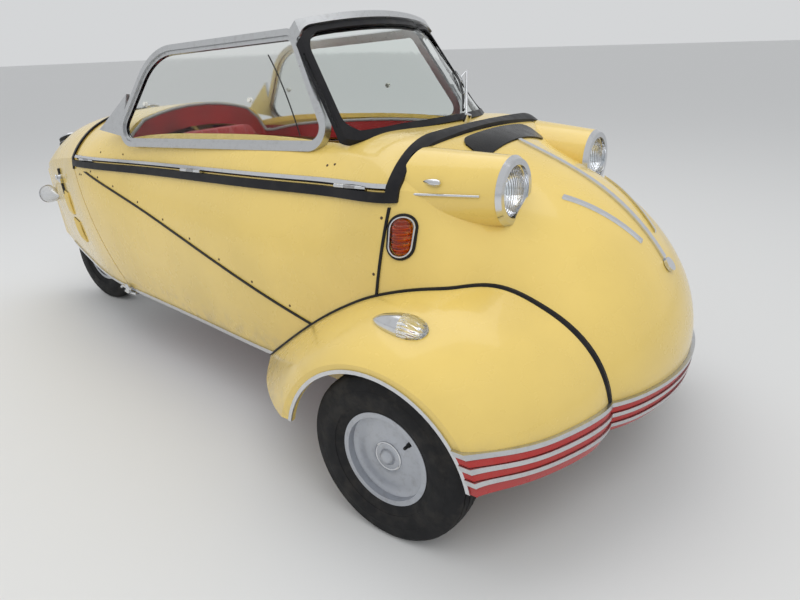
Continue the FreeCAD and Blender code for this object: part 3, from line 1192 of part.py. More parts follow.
# Tail hinge on top of the bulkhead
lid = []
for y in (-58, 58):
    pivot = Vector(s.tail_pin_x, y, s.tail_pin_z)
    pin = Part.makeCylinder(s.hinge_pin_radius, 50, pivot - Vector(0, 25, 0), Vector(0, 1, 0))
    post = box(s.tail_pin_x + 1, y - 25, 832, s.tail_pin_x + 4, y - 10, s.tail_pin_z)
    post_2 = box(s.tail_pin_x + 1, y + 10, 832, s.tail_pin_x + 4, y + 25, s.tail_pin_z)
    eyes = [Part.makeCylinder(4, 15, pivot + Vector(0, dy, 0), Vector(0, 1, 0)) for dy in (-25, 10)]
    still.append(pin.fuse([post, post_2] + eyes))
    eye = Part.makeCylinder(4.5, 19, pivot - Vector(0, 9.5, 0), Vector(0, 1, 0))
    strap = box(s.tail_pin_x - 48, y - 9.5, s.tail_pin_z - 2, s.tail_pin_x, y + 9.5, s.tail_pin_z + 1)
    foot = box(s.tail_pin_x - 48, y - 9.5, s.tail_pin_z - 30, s.tail_pin_x - 26, y + 9.5, s.tail_pin_z)
    arm = eye.fuse([strap, foot]).cut(Part.makeCylinder(s.hinge_pin_radius + s.running_gap, 60,
                                                         pivot - Vector(0, 30, 0), Vector(0, 1, 0)))
    lid.append(arm.cut(hull(-s.seat_gap)))
shape_node("tail_hinge", solids(*[solids(*[max(piece.Solids, key=lambda solid: solid.Volume)]) for piece in lid]))
shape_node("hinge_leaves", solids(*still))

# Check every piece, then write it
doc.recompute()
for obj in doc.Objects:
    if "Invalid" in obj.State or "Error" in obj.State:
        raise RuntimeError("%s did not compute" % obj.Name)
os.makedirs("parts", exist_ok=True)
for name, obj in nodes.items():
    shape = obj.Shape
    if shape.isNull() or not shape.isValid():
        raise RuntimeError("%s has no valid shape" % name)
    shape.exportStep("parts/%s.step" % name)
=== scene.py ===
import math

import bmesh
import bpy
from bpy.props import FloatProperty, FloatVectorProperty, PointerProperty
from mathutils import Matrix, Vector
from mathutils.bvhtree import BVHTree


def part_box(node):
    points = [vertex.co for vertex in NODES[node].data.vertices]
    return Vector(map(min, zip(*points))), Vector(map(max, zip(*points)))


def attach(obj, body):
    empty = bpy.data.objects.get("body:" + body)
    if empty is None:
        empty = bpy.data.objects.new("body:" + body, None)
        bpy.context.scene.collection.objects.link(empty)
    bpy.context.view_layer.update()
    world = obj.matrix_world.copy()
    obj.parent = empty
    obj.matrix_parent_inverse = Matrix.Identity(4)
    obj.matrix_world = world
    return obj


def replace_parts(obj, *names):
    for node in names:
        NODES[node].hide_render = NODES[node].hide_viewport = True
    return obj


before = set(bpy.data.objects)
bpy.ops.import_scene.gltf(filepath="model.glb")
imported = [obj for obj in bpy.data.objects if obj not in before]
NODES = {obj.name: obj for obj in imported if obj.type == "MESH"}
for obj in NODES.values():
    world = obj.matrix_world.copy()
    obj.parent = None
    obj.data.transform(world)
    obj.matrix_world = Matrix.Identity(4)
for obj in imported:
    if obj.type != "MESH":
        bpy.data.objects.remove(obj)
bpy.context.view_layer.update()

bl_info = {
    "name": "Bubble car dressing",
    "version": (1, 0, 0),
    "blender": (4, 5, 0),
    "location": "3D View > Sidebar > Bubble car",
    "description": "Finishes, upholstery, tyres and fittings of a three-wheeled bubble car with its top off",
    "category": "Object",
}

X, Y, Z = Vector((1, 0, 0)), Vector((0, 1, 0)), Vector((0, 0, 1))


# Finishes
class Finish:
    """A node material whose texture nodes read the object's own coordinates."""

    def __init__(self, name, colour, roughness=0.5, metallic=0.0):
        self.material = MATERIALS[name] = bpy.data.materials.new(name)
        self.material.use_nodes = True
        self.nodes = self.material.node_tree.nodes
        self.links = self.material.node_tree.links
        self.shader = self.nodes["Principled BSDF"]
        self.place = self.nodes.new("ShaderNodeTexCoord").outputs["Object"]
        self.height = None
        self.set(Base_Color=(*colour, 1), Roughness=roughness, Metallic=metallic)

    def set(self, **values):
        for name, value in values.items():
            self.shader.inputs[name.replace("_", " ")].default_value = value
        return self

    def node(self, kind, output, inputs, **settings):
        """Adds a node, fills its inputs with values or links, and gives one of its outputs."""
        node = self.nodes.new("ShaderNode" + kind)
        for key, value in settings.items():
            setattr(node, key, value)
        for key, value in inputs.items():
            if isinstance(value, bpy.types.NodeSocket):
                self.links.new(value, node.inputs[key])
            else:
                node.inputs[key].default_value = value
        return node.outputs[output]

    def mapped(self, stretch=(1, 1, 1)):
        return self.node("Mapping", "Vector", {"Vector": self.place, "Scale": stretch})

    def noise(self, scale, detail=4.0, rough=0.55, stretch=(1, 1, 1)):
        return self.node("TexNoise", "Fac", {"Vector": self.mapped(stretch), "Scale": scale, "Detail": detail,
                                             "Roughness": rough})

    def cells(self, scale, feature="F1"):
        return self.node("TexVoronoi", "Distance", {"Vector": self.mapped(), "Scale": scale}, feature=feature)

    def waves(self, scale, direction):
        return self.node("TexWave", "Fac", {"Vector": self.mapped(), "Scale": scale}, bands_direction=direction)

    def axis(self, letter):
        return self.node("SeparateXYZ", letter, {"Vector": self.place})

    def ramp(self, value, low, high, start=0.0, end=1.0):
        return self.node("MapRange", "Result", {"Value": value, "From Min": low, "From Max": high,
                                                "To Min": start, "To Max": end})

    def maths(self, kind, first, second):
        return self.node("Math", "Value", {0: first, 1: second}, operation=kind)

    def near(self, spot, radius):
        """1 at the spot, falling to 0 at this distance."""
        reach = self.node("VectorMath", "Value", {0: self.place, 1: spot}, operation="DISTANCE")
        return self.ramp(reach, 0, radius, 1, 0)

    def tint(self, colour, amount):
        """Lays another colour over the base colour where amount is 1."""
        base = self.shader.inputs["Base Color"]
        under = base.links[0].from_socket if base.is_linked else base.default_value
        over = self.node("Mix", 2, {"Factor": amount, 6: under, 7: (*colour, 1)}, data_type="RGBA")
        self.links.new(over, base)
        return self

    def rough(self, value, low, high):
        self.links.new(self.ramp(value, 0.3, 0.7, low, high), self.shader.inputs["Roughness"])
        return self

    def bump(self, value, strength, depth):
        given = {"Strength": strength, "Distance": depth, "Height": value}
        if self.height:
            given["Normal"] = self.height
        self.height = self.node("Bump", "Normal", given)
        self.links.new(self.height, self.shader.inputs["Normal"])
        return self


MATERIALS = {}
RUST = (0.16, 0.045, 0.015)
DUST = (0.30, 0.26, 0.20)
GRIME = (0.12, 0.09, 0.06)
BAND_RED = (0.40, 0.022, 0.02)
LIP_TOP = 0.2615        # the bumper's lowest strip is paint on the nose below this height
LIP_REAR = 1.1505
CHIPPED = [((0.835, -0.43, 0.735), 0.06), ((-0.44, -0.31, 0.25), 0.05), ((0.44, -0.43, 0.27), 0.06),
           ((0.47, -0.30, 0.83), 0.03), ((-0.05, -0.36, 0.32), 0.05), ((1.2, -0.56, 0.27), 0.05)]


def metal(name, colour, low, high, grain, stretch=(1, 1, 1), dirt=0.0):
    """Metal with a fine grain, uneven shine and some dirt."""
    finish = Finish(name, colour, low, 1.0)
    finish.rough(finish.noise(grain, 6, 0.6, stretch), low, high)
    finish.bump(finish.noise(grain * 3, 3, 0.5, stretch), 0.04, 0.0006)
    if dirt:
        finish.tint(GRIME, finish.ramp(finish.noise(60, 7, 0.7), 0.5, 0.8, 0, dirt))
    return finish


def rubber(name, colour, low, high, grain, dust):
    """Dusty rubber, black paint or cord."""
    finish = Finish(name, colour, high)
    finish.tint(DUST, finish.ramp(finish.noise(18, 7, 0.65), 0.48, 0.85, 0, dust))
    finish.rough(finish.noise(35, 4), low, high)
    return finish.bump(finish.noise(grain, 4), 0.12, 0.0008)


def clear(name, colour, roughness, scratch, ior=1.45):
    """Glass or plastic with fine scratches."""
    finish = Finish(name, colour, roughness).set(Transmission_Weight=1.0, IOR=ior)
    return finish.rough(finish.noise(50, 8, 0.7, (1, 5, 1)), roughness, roughness + scratch)


def matt(name, colour, roughness, spots, mottle, grain, depth):
    """Plain surface mottled with a second colour; depth is the bump's strength and distance."""
    finish = Finish(name, colour, roughness)
    finish.tint(spots, finish.ramp(finish.noise(*mottle), 0.4, 0.7))
    if grain:
        finish.bump(finish.noise(*grain), *depth)


def make_finishes(look):
    """Every material of the car, kept by name in MATERIALS."""
    paint = Finish("butter_paint", look.paint, 0.26).set(Coat_Weight=0.5, Coat_Roughness=0.06)
    paint.tint([c * 0.86 for c in look.paint], paint.ramp(paint.noise(2.2, 5), 0.38, 0.68))
    low = paint.ramp(paint.axis("Z"), 0.24, 0.36, 1, 0)
    paint.tint(DUST, paint.maths("MULTIPLY", low, paint.ramp(paint.noise(26, 6), 0.45, 0.75, 0, 0.55)))
    below = paint.ramp(paint.axis("Z"), LIP_TOP - 0.0003, LIP_TOP + 0.0003, 1, 0)
    ahead = paint.ramp(paint.axis("X"), LIP_REAR - 0.0005, LIP_REAR + 0.0005)
    paint.tint(BAND_RED, paint.maths("MULTIPLY", below, ahead))
    chips = paint.ramp(paint.noise(150, 4, 0.7), 0.66, 0.69)
    spots = paint.near(*CHIPPED[0])
    for spot, radius in CHIPPED[1:]:
        spots = paint.maths("MAXIMUM", spots, paint.near(spot, radius))
    chips = paint.maths("MULTIPLY", chips, paint.ramp(spots, 0.15, 0.45))
    paint.tint(RUST, chips)
    paint.rough(paint.noise(9, 5), 0.2, 0.33)
    paint.bump(paint.noise(240, 2), 0.05, 0.001).bump(chips, 0.3, 0.0004)
    metal("worn_chrome", (0.70, 0.71, 0.73), 0.10, 0.24, 40, dirt=0.2)
    metal("dull_aluminium", (0.60, 0.61, 0.62), 0.26, 0.40, 30, (1, 6, 6), dirt=0.25)
    metal("bare_steel", (0.42, 0.42, 0.43), 0.28, 0.45, 60, dirt=0.5)
    silver = metal("silver_wheel_paint", (0.46, 0.48, 0.52), 0.30, 0.44, 22, dirt=0.3)
    silver.set(Metallic=0.75, Coat_Weight=0.25)
    metal("cast_engine_alloy", (0.38, 0.38, 0.38), 0.45, 0.7, 90, dirt=0.7)
    metal("silver_lamp_body", (0.66, 0.67, 0.68), 0.25, 0.38, 50, dirt=0.25).set(Metallic=0.6)
    metal("lamp_reflector", (0.93, 0.93, 0.95), 0.03, 0.09, 60)
    metal("aged_screw", (0.14, 0.10, 0.07), 0.4, 0.6, 200, dirt=0.6)
    rubber("red_band", (0.42, 0.022, 0.02), 0.22, 0.36, 200, 0.15)
    rubber("chassis_black", (0.025, 0.025, 0.026), 0.35, 0.6, 160, 0.6)
    rubber("underseal", (0.03, 0.03, 0.03), 0.6, 0.85, 90, 0.7)
    rubber("grey_piping", (0.33, 0.33, 0.32), 0.4, 0.6, 300, 0.2)
    for dark in (("black_rubber", (0.010, 0.010, 0.012), 0.34, 0.5, 260, 0.05),
                 ("tyre_rubber", (0.014, 0.014, 0.015), 0.6, 0.8, 420, 0.12),
                 ("moulded_black", (0.02, 0.02, 0.02), 0.3, 0.42, 500, 0.12),
                 ("blank_plate", (0.008, 0.008, 0.009), 0.2, 0.32, 200, 0.03)):
        rubber(*dark).set(Specular_IOR_Level=0.22)
    vinyl = Finish("red_leathercloth", look.vinyl, 0.42).set(Sheen_Weight=0.12)
    vinyl.tint([c * 0.6 for c in look.vinyl], vinyl.ramp(vinyl.noise(7, 5), 0.42, 0.72))
    vinyl.rough(vinyl.noise(30, 4), 0.34, 0.52)
    vinyl.bump(vinyl.cells(520, "DISTANCE_TO_EDGE"), 0.25, 0.0006).bump(vinyl.noise(60, 3), 0.1, 0.002)
    carpet = Finish("red_floor_mat", (0.20, 0.022, 0.02), 0.9).set(Sheen_Weight=0.3)
    carpet.tint((0.10, 0.05, 0.04), carpet.ramp(carpet.noise(14, 6), 0.45, 0.7))
    carpet.bump(carpet.noise(700, 2, 0.8), 0.7, 0.0015).bump(carpet.waves(90, "Y"), 0.3, 0.001)
    clear("screen_glass_clear", (0.95, 0.985, 0.97), 0.0, 0.03, 1.1)
    perspex = clear("aged_perspex", (0.93, 0.95, 0.93), 0.03, 0.1, 1.12)
    perspex.bump(perspex.noise(8, 2), 0.03, 0.002)
    lamp = clear("fluted_lamp_glass", (0.96, 0.98, 1.0), 0.02, 0.03)
    lamp.bump(lamp.waves(42, "Y"), 0.5, 0.0012).bump(lamp.cells(300), 0.1, 0.0005)
    amber = clear("amber_lens", (0.95, 0.33, 0.03), 0.05, 0.05)
    ribs = amber.waves(26, "Z")
    # painted shade: the amber is tinted darker in the grooves between the ribs
    amber.tint((0.55, 0.10, 0.01), amber.ramp(ribs, 0.15, 0.55, 1, 0))
    amber.bump(ribs, 0.9, 0.003).bump(amber.waves(90, "X"), 0.4, 0.001)
    red_lens = clear("red_tail_lens", (0.62, 0.015, 0.012), 0.05, 0.05)
    red_lens.bump(red_lens.cells(140), 0.4, 0.001)
    matt("dial_face", (0.015, 0.015, 0.016), 0.4, (0.05, 0.05, 0.05), (200, 3), (900,), (0.1, 0.0003))
    matt("dial_white", (0.8, 0.8, 0.76), 0.4, (0.6, 0.58, 0.5), (300, 3), None, None)
    matt("red_board", (0.17, 0.018, 0.016), 0.6, (0.10, 0.015, 0.012), (12, 5), (220, 4), (0.2, 0.001))
    matt("louvre_shade", (0.10, 0.075, 0.03), 0.8, (0.03, 0.025, 0.015), (60, 5), (200,), (0.1, 0.0005))


NODE_FINISH = {
    "butter_paint": ("nose_shell", "fenders", "upper_sides", "lower_sides", "tail_cover", "canopy_shell",
                     "dashboard"),
    "black_rubber": ("body_seals", "piping", "screen_seal", "tail_seal"),
    "worn_chrome": ("bright_trim", "belt_trim", "lamp_rims", "tail_fittings", "wiper", "hinge_leaves"),
    "silver_lamp_body": ("rear_lamps",),
    "dull_aluminium": ("bumper_strips", "header_bar", "canopy_rails", "window_frames"),
    "red_band": ("bumper_bands",),
    "blank_plate": ("front_plate",),
    "amber_lens": ("indicators",),
    "fluted_lamp_glass": ("lamp_lenses",),
    "screen_glass_clear": ("screen_glass",),
    "aged_perspex": ("side_panes",),
    "chassis_black": ("chassis_frame", "front_axle", "knuckle_right", "knuckle_left", "swing_arm", "seat_frame",
                      "steering_column"),
    "underseal": ("wheel_houses",),
    "red_floor_mat": ("floor_pan",),
    "red_board": ("rear_bulkhead", "bench_base"),
    "cast_engine_alloy": ("engine_block",),
    "bare_steel": ("canopy_hinge", "tail_hinge"),
    "silver_wheel_paint": ("wheel_right", "wheel_left", "wheel_rear"),
    "tyre_rubber": ("tyre_right", "tyre_left", "tyre_rear"),
    "moulded_black": ("steering_bar",),
    "red_leathercloth": ("front_seat", "rear_bench"),
}


# Shared ways of making a piece
def placed(name, data):
    """Object with this data, linked to the scene."""
    obj = bpy.data.objects.new(name, data)
    bpy.context.scene.collection.objects.link(obj)
    return obj


def meshed(name, data):
    """Mesh from a bmesh, which is freed."""
    mesh = bpy.data.meshes.new(name)
    data.to_mesh(mesh)
    data.free()
    return mesh


def piece(name, data, material, body):
    """Object at the origin from a bmesh, with its finish and body."""
    bmesh.ops.recalc_face_normals(data, faces=data.faces)
    obj = placed(name, meshed(name, data))
    obj.data.materials.append(MATERIALS[material])
    for face in obj.data.polygons:
        face.use_smooth = True
    mark_sharp(obj)
    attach(obj, body)
    return obj


def mark_sharp(obj, angle=35):
    """Edges steeper than the angle stay crisp."""
    data = bmesh.new()
    data.from_mesh(obj.data)
    for edge in data.edges:
        if len(edge.link_faces) == 2 and edge.calc_face_angle(0) > math.radians(angle):
            edge.smooth = False
    data.to_mesh(obj.data)
    data.free()


def drawn_in(data, wall, share):
    """Narrows a strip toward the wall faces along one of its edges, keeping this share of its width."""
    kept = set(wall)
    edge = data.copy()
    edge.faces.ensure_lookup_table()
    bmesh.ops.delete(edge, geom=[face for face in edge.faces if face.index not in kept], context="FACES")
    tree = BVHTree.FromBMesh(edge)
    edge.free()
    for vert in data.verts:
        vert.co = tree.find_nearest(vert.co)[0].lerp(vert.co, share)


def merged(name):
    """Mesh of a carried-over part with its split corners joined."""
    whole = bmesh.new()
    whole.from_mesh(NODES[name].data)
    bmesh.ops.remove_doubles(whole, verts=whole.verts, dist=1e-6)
    return whole


def islands(name):
    """Separate solids of a carried-over part, each as a bmesh."""
    whole = merged(name)
    left, found = set(whole.faces), []
    for seed in whole.faces:
        group, edge = set(), [seed]
        while edge:
            face = edge.pop()
            if face in left:
                left.discard(face)
                group.add(face.index)
                edge += [near for line in face.edges for near in line.link_faces]
        if group:
            one = whole.copy()
            bmesh.ops.delete(one, geom=[face for face in one.faces if face.index not in group], context="FACES")
            one.faces.index_update()
            one.normal_update()
            found.append(one)
    whole.free()
    return found


def redrawn(name, data, material, body):
    """Shows this mesh in place of a carried-over part."""
    done = piece("drawn_" + name, data, material, body)
    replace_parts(done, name)
    return done


def join(target, other):
    """Adds one bmesh to another and frees it."""
    mesh = meshed("joining", other)
    target.from_mesh(mesh)
    bpy.data.meshes.remove(mesh)
    return target


def mm(*steps):
    """Profile given in millimetres."""
    return [(along / 1000, radius / 1000) for along, radius in steps]


def turned(profile, steps, centre=(0, 0, 0), axis=Z):
    """Closed solid of revolution: profile of (along the axis, radius) pairs."""
    data = bmesh.new()
    along = axis.normalized()
    across = axis.orthogonal().normalized()
    verts = [data.verts.new(along * a + across * r) for a, r in profile]
    edges = [data.edges.new(pair) for pair in zip(verts, verts[1:])]
    bmesh.ops.spin(data, geom=verts + edges, cent=(0, 0, 0), axis=along, angle=math.tau, steps=steps,
                   use_merge=True)
    bmesh.ops.remove_doubles(data, verts=data.verts, dist=1e-6)
    loose = [edge for edge in data.edges if edge.is_boundary]
    if loose:
        bmesh.ops.holes_fill(data, edges=loose)
    bmesh.ops.translate(data, verts=data.verts, vec=centre)
    bmesh.ops.recalc_face_normals(data, faces=data.faces)
    return data


def tube(points, radius, sides=10, closed=False):
    """Round bar along a smooth line of points, from a bevelled curve."""
    curve = bpy.data.curves.new("bar", "CURVE")
    curve.dimensions = "3D"
    curve.bevel_depth = radius
    curve.bevel_resolution = sides // 4
    curve.use_fill_caps = True
    spline = curve.splines.new("POLY")
    spline.points.add(len(points) - 1)
    for point, place in zip(spline.points, points):
        point.co = (*place, 1)
    spline.use_cyclic_u = closed
    mesh = shown(placed("bar", curve))
    data = bmesh.new()
    data.from_mesh(mesh)
    bmesh.ops.remove_doubles(data, verts=data.verts, dist=1e-7)
    bpy.data.curves.remove(curve)
    bpy.data.meshes.remove(mesh)
    return data


def shown(obj):
    """New mesh of an object as its modifiers or bevel show it."""
    return bpy.data.meshes.new_from_object(obj.evaluated_get(bpy.context.evaluated_depsgraph_get()))


def rounded_block(low, high, radius, segments=3):
    """Box with rounded edges between two corners."""
    data = bmesh.new()
    bmesh.ops.create_cube(data, size=1)
    low, high = Vector(low), Vector(high)
    bmesh.ops.scale(data, verts=data.verts, vec=high - low)
    bmesh.ops.translate(data, verts=data.verts, vec=(high + low) / 2)
    bmesh.ops.bevel(data, geom=data.edges[:], offset=radius, segments=segments, profile=0.5, affect="EDGES",
                    material=-1)
    return data


def skin_of(*names):
    """Ray target made of CAD nodes."""
    data = bmesh.new()
    for name in names:
        data.from_mesh(NODES[name].data)
    tree = BVHTree.FromBMesh(data)
    data.free()
    return tree


def on_skin(tree, x, z, side):
    """Point and outward normal where a line across the car at x, z first meets the skin, from one side."""
    point, normal = tree.ray_cast(Vector((x, side, z)), Y * -side)[:2]
    if point is None:
        raise RuntimeError("no skin at x %.3f, z %.3f" % (x, z))
    return point, normal


def laid(tree, places, side, lift):
    """Points this far above the skin at each x, z."""
    found = [on_skin(tree, x, z, side) for x, z in places]
    return [spot + normal * lift for spot, normal in found]


def both_sides(data):
    """Adds the bmesh's own mirror image on the other side of the car."""
    other = data.copy()
    bmesh.ops.scale(other, verts=other.verts, vec=(1, -1, 1))
    bmesh.ops.reverse_faces(other, faces=other.faces)
    return join(data, other)


def moved(data, place, degrees=0.0, axis="Y"):
    """Turns a bmesh about an axis through the origin, then shifts it."""
    turn = Matrix.Rotation(math.radians(degrees), 4, axis)
    bmesh.ops.transform(data, verts=data.verts, matrix=Matrix.Translation(place) @ turn)
    return data


def aimed(data, point, normal):
    """Turns a piece made along +Z to stand on a point along the normal."""
    turn = Z.rotation_difference(normal).to_matrix().to_4x4()
    bmesh.ops.transform(data, verts=data.verts, matrix=Matrix.Translation(point) @ turn)
    return data


SCREW = mm((-1, 0.1), (-1, 4.2), (0.4, 4.2), (1.4, 3.2), (1.9, 1.6), (2, 0.1))


def screw(point, normal, size):
    """Small domed screw head."""
    return aimed(turned([(a * size, r * size) for a, r in SCREW], 14), point, normal)


# Lines of the body that pieces follow
def belt_height(x):
    """Height of the belt line at x."""
    return 0.707 + 0.050 * (x + 0.650) / 1.510


def belt_half_width(x):
    """Distance of the belt line from the car's middle at x."""
    return 0.294 + 0.098 * (x + 0.650) / 1.510


def side_seam(x):
    """Height of the slanting body seam at x."""
    return 0.690 - 0.342 * (x + 0.656) / 1.456


def front_seam(z):
    """Place along the car of the seam behind the front wheel arch at z."""
    return 0.805 + 0.062 * (z - 0.238) / 0.519


# Tyres and wheels
TYRE_SIDE = mm((-30, 106), (-36.2, 104.5), (-36.8, 114), (-41, 121), (-45.5, 132), (-46.2, 133.5),
               (-47.5, 133.5), (-48.2, 136), (-49.5, 150), (-49.2, 162), (-48.4, 163.5), (-48.4, 165.5),
               (-47.2, 167), (-45.5, 178), (-43.2, 187), (-42, 193.5), (-38.5, 198.5), (-34.5, 201))
TYRE_INSIDE = mm((30, 106), (36, 125), (41, 150), (36, 182), (20, 190))
GROOVES = mm((-28.5, -24.5), (-11.5, -8))       # start and end of the two on each side of the middle rib
GROOVE_DEPTH = 0.0062
GROOVE_LIP = 0.0012
ZIGZAGS = 45
ZIGZAG_SWING = 0.0022
WHEELS = [("right", Vector((0.95, -0.54, 0.205)), -1), ("left", Vector((0.95, 0.54, 0.205)), 1),
          ("rear", Vector((-1.08, 0, 0.205)), 1)]      # side, centre and the way its outer face looks


def crown(a):
    """Tread radius across the tyre."""
    return 0.2048 - 3.1 * a * a


def tyre_profile():
    """Closed outline of the tyre's section: one half from bead to tread, its mirror image, then the inside."""
    half = list(TYRE_SIDE)
    for start, end in GROOVES:
        half += [(start - GROOVE_LIP, crown(start)), (start, crown(start) - GROOVE_LIP),
                 (start + 0.0004, crown(start) - GROOVE_DEPTH), (end - 0.0004, crown(end) - GROOVE_DEPTH),
                 (end, crown(end) - GROOVE_LIP), (end + GROOVE_LIP, crown(end))]
    inner = TYRE_INSIDE + [(-a, r) for a, r in reversed(TYRE_INSIDE)]
    return half + [(-a, r) for a, r in reversed(half)] + inner + [half[0]]


def tyre(centre):
    """Ribbed tyre around a wheel centre, with zigzag groove walls."""
    data = turned(tyre_profile(), 180, axis=Y)
    for vert in data.verts:
        radius = math.hypot(vert.co.x, vert.co.z)
        if radius > 0.1965 and 0.004 < abs(vert.co.y) < 0.0315:
            turn = math.atan2(vert.co.z, vert.co.x) / math.tau * ZIGZAGS % 1
            vert.co.y += ZIGZAG_SWING * (abs(turn * 4 - 2) - 1) * (1 if vert.co.y > 0 else -1)
    return moved(data, centre)


class CAR_OT_tyres(bpy.types.Operator):
    """Builds the three ribbed tyres and the small parts of their wheels"""
    bl_idname = "car.tyres"
    bl_label = "Tyres and wheel details"

    def execute(self, context):
        for side, centre, out in WHEELS:
            done = piece("ribbed_tyre_" + side, tyre(centre), "tyre_rubber", "wheel_" + side)
            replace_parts(done, "tyre_" + side)
            face = centre + Y * out * 0.019
            ring = turned(mm((0, 30), (4 * out, 30.5), (5.5 * out, 33), (4 * out, 35.5), (0, 36)), 48, face, Y)
            valve = turned(mm((-4 * out, 0.1), (-4 * out, 6), (12 * out, 5.5), (14 * out, 4), (24 * out, 3.8),
                              (26 * out, 3), (26 * out, 0.1)), 20, face + Vector((0.058, -out * 0.006, 0.050)),
                           Y)
            piece("hub_ring_" + side, ring, "worn_chrome", "wheel_" + side)
            piece("tyre_valve_" + side, valve, "moulded_black", "wheel_" + side)
        return {"FINISHED"}


# Lamps
LAMP_CENTRE = Vector((1.066, 0.235, 0.745))
REAR_LAMP = Vector((-1.270, 0.115, 0.478))
INDICATOR = Vector(((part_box("indicators")[0][0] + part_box("indicators")[1][0]) / 2, 0, 0.640))
INDICATOR_RADIUS = 0.024
INDICATOR_RISE = 0.036
POD_LUG = (0.936, 0.772)


class CAR_OT_lamps(bpy.types.Operator):
    """Puts reflectors and bulbs behind the headlamp glasses and rings on the small lamps"""
    bl_idname = "car.lamps"
    bl_label = "Lamp interiors"

    def execute(self, context):
        bowl = mm((-48, 0.2), (-46, 12), (-40, 27), (-28, 41), (-12, 52), (2, 56.5), (2, 58.5), (-13, 54),
                  (-30, 43), (-43, 29), (-50, 12), (-51, 0.2))
        bowls = both_sides(turned(bowl, 64, LAMP_CENTRE, X))
        piece("headlamp_reflectors", bowls, "lamp_reflector", "body")
        bulb = mm((-46, 0.2), (-46, 9), (-30, 9), (-28, 7), (-22, 10), (-14, 11), (-8, 8), (-5, 0.2))
        bulbs = both_sides(turned(bulb, 24, LAMP_CENTRE, X))
        piece("headlamp_bulbs", bulbs, "screen_glass_clear", "body")
        lens = turned(mm((-31, 36.8), (-34.5, 37.2), (-36.5, 35.8), (-45.5, 26.2), (-49, 14), (-50.2, 0.2),
                         (-44, 0.2), (-33, 30), (-31, 36.8)), 48, REAR_LAMP, X)
        ring = turned(mm((-29, 36.4), (-28, 38.5), (-31, 39.5), (-33.5, 38.5), (-33.5, 37.2), (-29, 36.4)), 48,
                      REAR_LAMP, X)
        piece("rear_lamp_lenses", both_sides(lens), "red_tail_lens", "tail")
        piece("rear_lamp_rings", both_sides(ring), "worn_chrome", "tail")
        skin = skin_of("nose_shell")
        pads, bezels = bmesh.new(), bmesh.new()
        for grow, radius, lift, store in ((0.0035, 0.0052, 0, pads), (0.0005, 0.0024, 0.006, bezels)):
            ring, reach = [], INDICATOR_RADIUS + grow
            for i in range(48):
                angle = math.tau * i / 48
                rise = INDICATOR_RISE if math.sin(angle) > 0 else 0
                z = INDICATOR.z + reach * math.sin(angle) + rise
                ring.append((INDICATOR.x + reach * math.cos(angle), z))
            join(store, tube(laid(skin, ring, -1, radius * 0.35 + lift), radius, 12, closed=True))
            both_sides(store)
        piece("indicator_bases", pads, "black_rubber", "body")
        piece("indicator_bezels", bezels, "worn_chrome", "body")
        lug = turned(mm((-30, 0.1), (-22, 3.5), (-10, 7), (2, 8.5), (12, 8), (19, 5), (21, 0.1)), 24, axis=X)
        spot, normal = on_skin(skin, *POD_LUG, -1)
        piece("pod_lugs", both_sides(moved(lug, spot + normal * 0.003)), "worn_chrome", "body")
        return {"FINISHED"}


# Seats
STUFFING_GRID = 0.007
STUFFING_PRESSURE = 4
STUFFING_FRAMES = 20
CHANNEL_SPACING = 0.062
CHANNEL_DEPTH = 0.007
CHANNEL_WIDTH = 0.009
REAR_SEAT_HALF = 0.19
FRONT_SEAT_HALF = 0.17


def pad_form(low, high, crowned, pinch):
    """Stuffed block: crowned faces, sides pulled in between the corners."""
    low, high = Vector(low), Vector(high)
    data = bmesh.new()
    bmesh.ops.create_cube(data, size=2)
    bmesh.ops.subdivide_edges(data, edges=data.edges[:], cuts=22, use_grid_fill=True)
    for vert in data.verts:
        x, y, z = vert.co
        fall = (1 - x * x) * (1 - y * y)
        edge = max(abs(x), abs(y))
        shrink = 1 - pinch * (1 - min(abs(x), abs(y)) ** 2) * edge ** 6
        vert.co = Vector((x * shrink, y * shrink, z * (1 - crowned * (1 - fall ** 0.5))))
    bmesh.ops.scale(data, verts=data.verts, vec=(high - low) / 2)
    bmesh.ops.translate(data, verts=data.verts, vec=(low + high) / 2)
    return softened(data)


def softened(data):
    """Smooths a bmesh once, halfway."""
    bmesh.ops.smooth_vert(data, verts=data.verts[:], factor=0.5, use_axis_x=True, use_axis_y=True,
                          use_axis_z=True)
    return data


def channels(data, reach, up):
    """Sewn channels along the face of a pad that looks along an axis, out to this distance from the middle."""
    values = [vert.co[up] for vert in data.verts]
    top = max(values)
    middle = (min(values) + top) / 2
    for vert in data.verts:
        rise = vert.co[up] - middle
        if rise > 0 and abs(vert.co.y) < reach:
            place = vert.co.y / CHANNEL_SPACING + 0.5
            gap = (place - math.floor(place) - 0.5) * CHANNEL_SPACING
            fade = min(1, rise / (top - middle) * 1.5)
            vert.co[up] -= CHANNEL_DEPTH * math.exp(-(gap / CHANNEL_WIDTH) ** 2) * fade
    return data


def pad_piping(data, level):
    """Piping round the outline of a cushion at this height."""
    middle = sum((vert.co for vert in data.verts), Vector()) / len(data.verts)
    ring = {}
    for vert in data.verts:
        if abs(vert.co.z - level) <= 0.02:
            across = vert.co - middle
            key = round(math.atan2(across.y, across.x) / math.tau * 72)
            reach = math.hypot(across.x, across.y)
            if key not in ring or reach > ring[key][0]:
                ring[key] = (reach, Vector((vert.co.x, vert.co.y, level)))
    points = [ring[key][1] for key in sorted(ring)]
    return tube(points[:-1] if len(points) > 72 else points, 0.0045, 8, closed=True)


